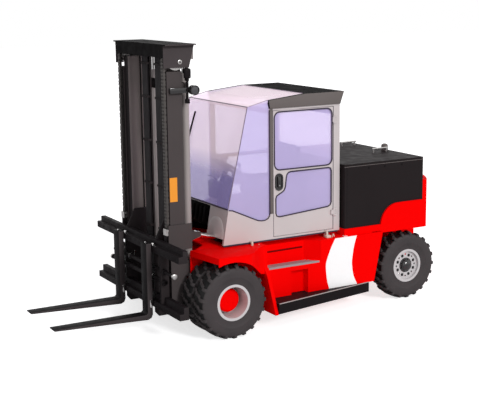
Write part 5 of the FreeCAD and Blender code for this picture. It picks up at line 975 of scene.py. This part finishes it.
def link(shape, middle, ahead, offsets):
    """Leaf plates of one chain link: waisted strips side by side."""
    across = Vector((0, -ahead.z, ahead.y))
    outline = []
    for end in (1, -1):
        for step in range(7):
            angle = radians(-90 + 180 * step / 6)
            outline.append((end * (LINK_PITCH / 2 + LINK_RADIUS * cos(angle)),
                            end * LINK_RADIUS * sin(angle)))
        outline.append((0, end * LINK_RADIUS * LINK_WAIST))
    flat = [(middle.y + ahead.y * u + across.y * v, middle.z + ahead.z * u + across.z * v)
            for u, v in outline]
    for offset in offsets:
        x = middle.x + offset
        shape.skin([[(x - PLATE_HALF, y, z) for y, z in flat], [(x + PLATE_HALF, y, z) for y, z in flat]])


def chain_run(side, path):
    """A leaf chain laid along a path of (y, z): plates in two alternating sets, and its pins."""
    shape = Shape(side)
    path = [Vector((CHAIN_X, y, z)) for y, z in path]
    lengths = [(b - a).length for a, b in zip(path, path[1:])]
    total = sum(lengths)
    count = int(total / LINK_PITCH)
    for index in range(count):
        want = (index + 0.5) * total / count
        for first, second, length in zip(path, path[1:], lengths):
            if want <= length:
                break
            want -= length
        ahead = (second - first).normalized()
        middle = first + ahead * want
        link(shape, middle, ahead, PLATE_SETS[index % 2])
        shape.turned("X", middle + ahead * LINK_PITCH / 2, [(-0.0279, 0.006), (0.0279, 0.006)], 8)
    return shape


def chains(side, label):
    """The front chain, up and over its wheel, and the straight rear chain."""
    axle = centre("chain_wheels")
    axle_y = axle.y - FRONT
    front_y = centre("chains_front").y - FRONT
    rear_y = centre("chains_rear").y - FRONT
    path = [(front_y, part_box("chains_front")[0].z + 0.02), (front_y, axle.z)]
    for step in range(1, 13):
        angle = radians(180 - 15 * step)
        path.append((axle_y + (axle_y - front_y) * cos(angle), axle.z + WHEEL_TRACK * sin(angle)))
    chain_run(side, path).piece(f"chain_front_{label}", "chain", "inner_mast", replaces=["chains_front"])
    path = [(rear_y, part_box("chains_rear")[0].z + 0.02), (rear_y, axle.z)]
    chain_run(side, path).piece(f"chain_rear_{label}", "chain", "outer_mast", replaces=["chains_rear"])


def chain_anchor(side, label):
    """Open channel on the carriage for the front chain's end, with its pin's heads."""
    low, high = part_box("chains_front")
    front = low.y - FRONT - 0.006
    foot, top = low.z - 0.045, low.z + 0.028
    anchor = Shape(side)
    for edge in (-1, 1):
        inside, outside = sorted((CHAIN_X + edge * 0.034, CHAIN_X + edge * 0.041))
        anchor.block((inside, front - 0.006, foot), (outside, high.y - FRONT, top), 0.002, 1)
        anchor.turned("X", (CHAIN_X + edge * 0.041, (low.y + high.y) / 2 - FRONT, low.z + 0.010),
                      [(0, 0.011), (edge * 0.005, 0.011)], 16)
    anchor.block((CHAIN_X - 0.041, front - 0.008, foot), (CHAIN_X + 0.041, front, top), 0.002, 1)
    anchor.piece(f"chain_anchor_{label}", "steel", "carriage")


def hose_guard(side, label):
    """Bent bar with its two pads on the outer rail; the pads are shifted alike on both sides."""
    top_x, low_x = side * 0.655, side * 0.652
    foot_x = side * 0.653
    hook = Shape()
    hook.tube([(top_x, -0.258, 2.93), (top_x, -0.258, 2.86), (low_x, -0.262, 2.74), (low_x, -0.262, 2.60)],
              0.015, sides=10, smooth=3)
    hook.block((top_x - 0.022, -0.300, 2.860), (top_x + 0.03, -0.222, 2.972), 0.020, 4)
    hook.block((foot_x - 0.020, -0.284, 2.590), (foot_x + 0.022, -0.240, 2.640), 0.006)
    hook.piece(f"hose_guard_{label}", "black", "outer_mast")


def hoses(side, label):
    """Four hoses between the inner mast's rails, with their tray and its clips."""
    lines = Shape(side)
    for index in range(4):
        x = 0.118 + 0.036 * index
        lines.tube([(x, -0.378, z) for z in (3.085, 2.40, 1.20, 0.50)], 0.0155, sides=12, smooth=2)
    lines.piece(f"mast_hoses_{label}", "hose", "inner_mast")
    tray = Shape(side)
    tray.prism("XY", [(0.096, -0.340), (0.096, -0.358), (0.100, -0.358), (0.100, -0.346), (0.244, -0.346),
                      (0.244, -0.358), (0.248, -0.358), (0.248, -0.340)], 0.50, 3.085, 0.001, 1)
    for z in (0.62, 1.10, 1.60, 2.10, 2.60, 2.98):
        tray.block((0.100, -0.399, z), (0.244, -0.360, z + 0.028), 0.004)
    tray.piece(f"hose_tray_{label}", "mast", "inner_mast")


def mast():
    """Chains with their anchors, cap pins, hose guards, hoses and trays."""
    for side, label in SIDES:
        chains(side, label)
        chain_anchor(side, label)
        pin = Shape(side)
        pin.lathe("X", (0.646, -0.342, 3.042), [(0, 0.009), (0, 0.026), (0.007, 0.025), (0.009, 0.021),
                                                (0.009, 0.011), (0.003, 0.009)], steps=28)
        pin.piece(f"cap_pin_{label}", "steel", "inner_mast")
        hose_guard(side, label)
    for side, label in SIDES:
        hoses(side, label)


def lamp_on_arm():
    """Work lamp with its arm, rim, lens and cooling ribs."""
    low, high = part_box("lamp_arm")
    y, z, radius = -0.196, 2.735, 0.052
    face = high.x
    lamp = Shape()
    lamp.block((low.x + 0.0005, -0.470, z - 0.029), (0.664, y, z + 0.029), 0.004)
    lamp.turned("X", (0, y, z), [(0.612, 0.034), (0.628, 0.044), (0.640, radius * 0.96),
                                 (face - 0.020, radius * 0.96), (face - 0.020, radius * 1.04),
                                 (face, radius * 1.04), (face, radius * 0.84),
                                 (face - 0.010, radius * 0.80)], 36)
    for index in range(3):
        lamp.lathe("X", (0.645 + 0.016 * index, y, z), [(0, radius * 0.94), (0, radius * 1.02),
                                                        (0.006, radius * 1.02), (0.006, radius * 0.94)], 36)
    lamp.piece("lamp_on_arm", "gloss_black", "outer_mast", replaces=["lamp_arm"])
    lens = Shape()
    lens.lathe("X", (face, y, z), [(-0.003, AXIS), (-0.0035, radius * 0.5), (-0.006, radius * 0.79),
                                   (-0.009, radius * 0.79), (-0.009, AXIS)], steps=32)
    lens.piece("lamp_lens", "lens", "outer_mast")


# ---------------------------------------------------------------- carriage and forks

BAR_FRONT = -0.652
BAR_REAR = -0.600
LIP_REAR = -0.540
SHIFTER_END = 0.640
SHIFTERS = ((0.745, -0.65, 0.930), (0.625, -0.800, 0.65))      # height and the rod's two ends


def carriage_frame():
    """Bars with their rear lips, posts, roller plates, rollers, chain lugs and fork shifters."""
    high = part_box("carriage")[1]
    chain_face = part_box("chains_front")[0].y - FRONT - 0.008
    shape = Shape()
    for low, top, lip in ((0.935, 1.012, 1.068), (0.304, 0.378, 0.448)):
        shape.prism("YZ", [(BAR_FRONT, low), (LIP_REAR, low), (LIP_REAR, lip), (BAR_REAR, lip),
                           (BAR_REAR, top), (BAR_FRONT, top)], -high.x, high.x, round_off=0.005)
    for shape.side in BOTH:
        shape.block((0.640 - 0.017, -0.641, 0.306), (0.640 + 0.017, LIP_REAR + 0.001, 1.010), 0.003)
        shape.prism("YZ", [(-0.601, 0.217), (-0.556, 0.165), (-0.302, 0.165), (-0.302, high.z),
                           (-0.470, high.z), (-0.585, 1.045), (-0.601, 1.045)], 0.382, 0.412,
                    round_off=0.003)
        for z in (0.250, 1.160):
            shape.turned("X", (0, -0.383, z), [(0.411, 0.030), (0.416, 0.030), (0.416, 0.060), (0.420, 0.063),
                                               (0.464, 0.063), (0.468, 0.060)], 36)
        shape.block((CHAIN_X - 0.028, LIP_REAR - 0.001, 1.002), (CHAIN_X + 0.028, chain_face, 1.1795), 0.003)
    for z, first, last in SHIFTERS:
        shape.turned("X", (0, BAR_REAR, z), [(-SHIFTER_END, 0.028), (SHIFTER_END, 0.028)], 28)
        shape.turned("X", (0, BAR_REAR, z), [(first, 0.018), (last, 0.018)], 20)
    shape.piece("carriage_frame", "carriage", "carriage", replaces=["carriage"])


def fork_latch(label):
    """Latch pin and plate on a fork's left face, and the stop on top of its hook."""
    low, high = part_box(f"fork_{label}")
    face = high.x
    latch = Shape()
    latch.turned("X", (face, -0.640, 1.026), [(-0.01, 0.012), (0.004, 0.012), (0.006, 0.018), (0.030, 0.018),
                                              (0.036, 0.012)], 20)
    latch.prism("YZ", rounded((-0.694, 0.296), (-0.662, 0.386), 0.012, 4), face + 0.0004, face + 0.007,
                round_off=0.002)
    latch.turned("Z", ((low.x + high.x) / 2, -0.694, 1.035), [(0, 0.012), (0.008, 0.012), (0.012, 0.007)], 12)
    latch.piece(f"fork_latch_{label}", "chrome", f"fork_{label}")


def carriage():
    """Bar bolts, glands, bands and rod ends of the fork shifters, and the forks' latches."""
    bolts = Shape()
    for bolts.side in BOTH:
        for x in (0.12, 0.56, 0.72, 0.95, 1.10):
            for z in (0.973, 0.341):
                bolts.turned("Y", (x, -0.6525, z), [(0.004, 0.014), (-0.0003, 0.014), (-0.0003, 0.008),
                                                    (0.003, 0.007)], 24)
    bolts.piece("carriage_bolts", "carriage", "carriage")
    glands = Shape()
    for glands.side in BOTH:
        for z, _, _ in SHIFTERS:
            glands.lathe("X", (SHIFTER_END + 0.018, BAR_REAR, z), [(0, 0.029), (0, 0.033), (0.03, 0.033),
                                                                   (0.036, 0.028), (0.036, 0.018)], 24, False)
    glands.piece("shifter_glands", "black", "carriage")
    bands = Shape()
    for x, z in ((-0.240, 0.745), (0.370, 0.625)):
        bands.lathe("X", (x, BAR_REAR, z), [(-0.012, 0.029), (-0.012, 0.034), (0.012, 0.034), (0.012, 0.029)],
                    24)
        bands.tube([(x, -0.566, z), (x, -0.556, z + 0.03), (x + 0.02, -0.560, z + 0.06)], 0.006)
    bands.piece("shifter_bands", "steel", "carriage")
    ends = Shape()
    for ends.side, x, z in ((1, 0.905, 0.745), (-1, 0.775, 0.625)):
        ends.lathe("X", (x, BAR_REAR, z), [(0, 0.0175), (0, 0.030), (0.030, 0.030), (0.033, 0.024),
                                           (0.033, AXIS)], 24, False)
    ends.piece("shifter_rod_ends", "steel", "carriage")
    for _, label in SIDES:
        fork_latch(label)


def forks():
    """Forks with a hook over the bar, a rounded heel and a blade that thins evenly to a broad tip."""
    for _, label in SIDES:
        low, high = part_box(f"fork_{label}")
        tip = low.y - FRONT
        fork = Shape()
        fork.prism("YZ", [(tip, 0.203), (tip + 0.012, 0.199), (-0.718, 0.155), (-0.676, 0.173),
                          (-0.658, 0.215), (-0.658, 1.018), (-0.614, 1.018), (-0.614, high.z),
                          (-0.720, high.z), (-0.720, 0.237), (-0.740, 0.217), (tip, 0.217)],
                   low.x, high.x, round_off=0.003)
        fork.piece(f"fork_blade_{label}", "fork", f"fork_{label}", replaces=[f"fork_{label}"])


# ---------------------------------------------------------------- fenders, side panels and hood

FENDER_EDGE = [(0.640, -0.262, 0.870), (1.158, -0.182, 0.870), (1.170, -0.180, 0.842),
               (1.170, -0.120, 0.862), (1.170, -0.050, 0.873), (1.170, 0.020, 0.877), (1.170, 0.090, 0.867),
               (1.170, 0.160, 0.848), (1.160, 0.215, 0.824), (1.135, 0.262, 0.794), (1.085, 0.315, 0.757),
               (1.020, 0.378, 0.712), (0.950, 0.450, 0.655), (0.905, 0.505, 0.618), (0.886, 0.560, 0.610)]
FENDER_WALL = 0.014
STRIPE_FRONT = ((1.530, 0.9045), (1.462, 0.78), (1.407, 0.64), (1.400, 0.555), (1.415, 0.42), (1.445, 0.306))
STRIPE_REAR = ((1.840, 0.9045), (1.800, 0.78), (1.776, 0.66), (1.772, 0.555), (1.795, 0.42), (1.850, 0.306))
STRIPE_X = 0.8812
STRIPE_DEPTH = 0.0018


def fenders():
    """Front fenders: a deck, an apron that swings in to the side panel, and a flared end plate."""
    for side, label in SIDES:
        shape = Shape(side)
        shape.prism("XY", [(x, y) for x, y, _ in FENDER_EDGE] + [(0.881, 0.600), (0.640, 0.600)],
                    0.926, 0.940, round_off=0.003)
        rings = []
        for x, y, low in FENDER_EDGE:
            inner_x = x - FENDER_WALL if x > 0.7 else x
            inner_y = y + FENDER_WALL if y < 0 and x < 1.165 else y
            rings.append([(x, y, low), (x, y, 0.930), (inner_x, inner_y, 0.930), (inner_x, inner_y, low)])
        shape.skin(rings)
        shape.prism("XZ", [(0.640, 0.172), (1.122, 0.172), (1.128, 0.178), (0.945, 0.596), (0.892, 0.668),
                           (0.881, 0.720), (0.881, 0.932), (0.640, 0.932)], 0.556, 0.5995, round_off=0.004)
        shape.piece(f"fender_shell_{label}", "red", "chassis", replaces=[f"fender_{label}"], sharp=25)


def stripe():
    """White curved stripe on each side panel, and its turn on to the deck."""
    edges = [curve_points([Vector((y, z, 0)) for y, z in edge], 6) for edge in (STRIPE_FRONT, STRIPE_REAR)]
    for side, label in SIDES:
        shape = Shape(side)
        shape.skin([[(STRIPE_X, first.x + (second.x - first.x) * part / 4, first.y) for part in range(5)]
                    for first, second in zip(*edges)], closed=False, caps=False)
        lifted = bmesh.ops.extrude_face_region(shape.mesh, geom=shape.mesh.faces[:])["geom"]
        for item in lifted:
            if isinstance(item, bmesh.types.BMVert):
                item.co.x -= side * STRIPE_DEPTH
        shape.prism("XY", [(0.700, 1.735), (0.700, 1.800), (0.874, 1.715), (0.874, 1.665), (0.80, 1.690)],
                    0.9045, 0.9065)
        shape.piece(f"side_stripe_{label}", "white", "chassis")


def cab_catches(side, label):
    """Two catches that hold the cab on the deck: a block, a bent handle and a wire loop."""
    x, z = 0.80, 0.907
    catch = Shape(side)
    for y in (0.462, 1.482):
        catch.block((x - 0.030, y - 0.036, z - 0.002), (x + 0.030, y + 0.030, z + 0.030), 0.008)
        catch.tube([(x, y - 0.014, z + 0.020), (x, y - 0.014, z + 0.058), (x - 0.025, y - 0.004, z + 0.066),
                    (x - 0.065, y, z + 0.062)], 0.013)
        catch.tube([(x, y + 0.062, z - 0.002), (x, y + 0.074, z + 0.034), (x, y + 0.090, z + 0.002)], 0.006)
    catch.piece(f"cab_catches_{label}", "catch", "chassis")


def body():
    """Step grips, low step edges, the painted shadow strips over the step niches and the cab's catches."""
    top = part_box("step_treads")[1].z
    for side, label in SIDES:
        grips = Shape(side)
        for index in range(15):
            y = 0.70 + 0.036 * index
            grips.block((0.757, y, top - 0.001), (0.872, y + 0.014, top + 0.004), 0.0015, 1)
        grips.block((0.868, 0.70, top - 0.018), (0.8785, 1.20, top + 0.003), 0.002)
        grips.piece(f"step_grips_{label}", "tread", "chassis")
        step = Shape(side)
        step.tube([(1.128, 0.606, 0.3035), (0.8755, 2.026, 0.3035)], 0.006, smooth=0)
        step.piece(f"low_step_edge_{label}", "tube", "chassis")
        # a dark red strip: painted shadow of the undercut over the step niche
        painted_shadow = Shape(side)
        painted_shadow.prism("YZ", [(0.640, 0.812), (1.150, 0.818), (1.150, 0.836), (0.640, 0.832)], 0.7495, 0.7535,
                   round_off=0.001)
        painted_shadow.piece(f"niche_slot_{label}", "red_shadow", "chassis")
        cab_catches(side, label)


def hood_details():
    """Lid's lower trim, filler knob, screws, seams and louvres at the rear."""
    low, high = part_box("hood_lid")
    x, front, rear = high.x + 0.001, low.y - FRONT + 0.012, high.y - FRONT + 0.001
    trim = Shape()
    trim.ring([(-x, front, low.z), (-x, rear, low.z), (x, rear, low.z), (x, front, low.z)], 0.0035,
              closed=False)
    trim.piece("lid_rim_line", "fascia", "hood_lid")
    knob = Shape()
    knob.lathe("Z", (0.119, 2.798, high.z), [(0, AXIS), (0, 0.040), (0.012, 0.043), (0.060, 0.043),
                                             (0.078, 0.038), (0.088, 0.020), (0.090, AXIS)], steps=28)
    knob.piece("filler_knob", "fascia", "hood_lid")
    screws = Shape()
    for y in (2.062, 2.297, 2.55):
        for screws.side in BOTH:
            screws.turned("X", (0.8085, y, 1.690), [(0, 0.013), (0.004, 0.012)], 18)
    screws.piece("hood_screws", "black", "chassis")
    seam = Shape()
    for seam.side in BOTH:
        seam.block((0.8075, 1.742, 1.02), (0.8095, 1.748, 1.715), 0.0006, 1)
    seam.piece("hood_seams", "black", "chassis")
    vents = Shape()
    for index in range(8):
        z = 1.50 + 0.022 * index
        vents.prism("YZ", [(2.8745, z), (2.880, z + 0.002), (2.880, z + 0.006), (2.8745, z + 0.014)],
                    -0.34, 0.34)
    vents.piece("hood_louvres", "hood", "chassis")


set_camera()
set_world()
set_floor()
set_sun()
bpy.context.scene.view_settings.view_transform = "Standard"
dress_nodes()
wheels()
cab_outside()
cab_front()
cab_inside()
seat()
mast()
lamp_on_arm()
carriage_frame()
carriage()
forks()
fenders()
stripe()
body()
hood_details()
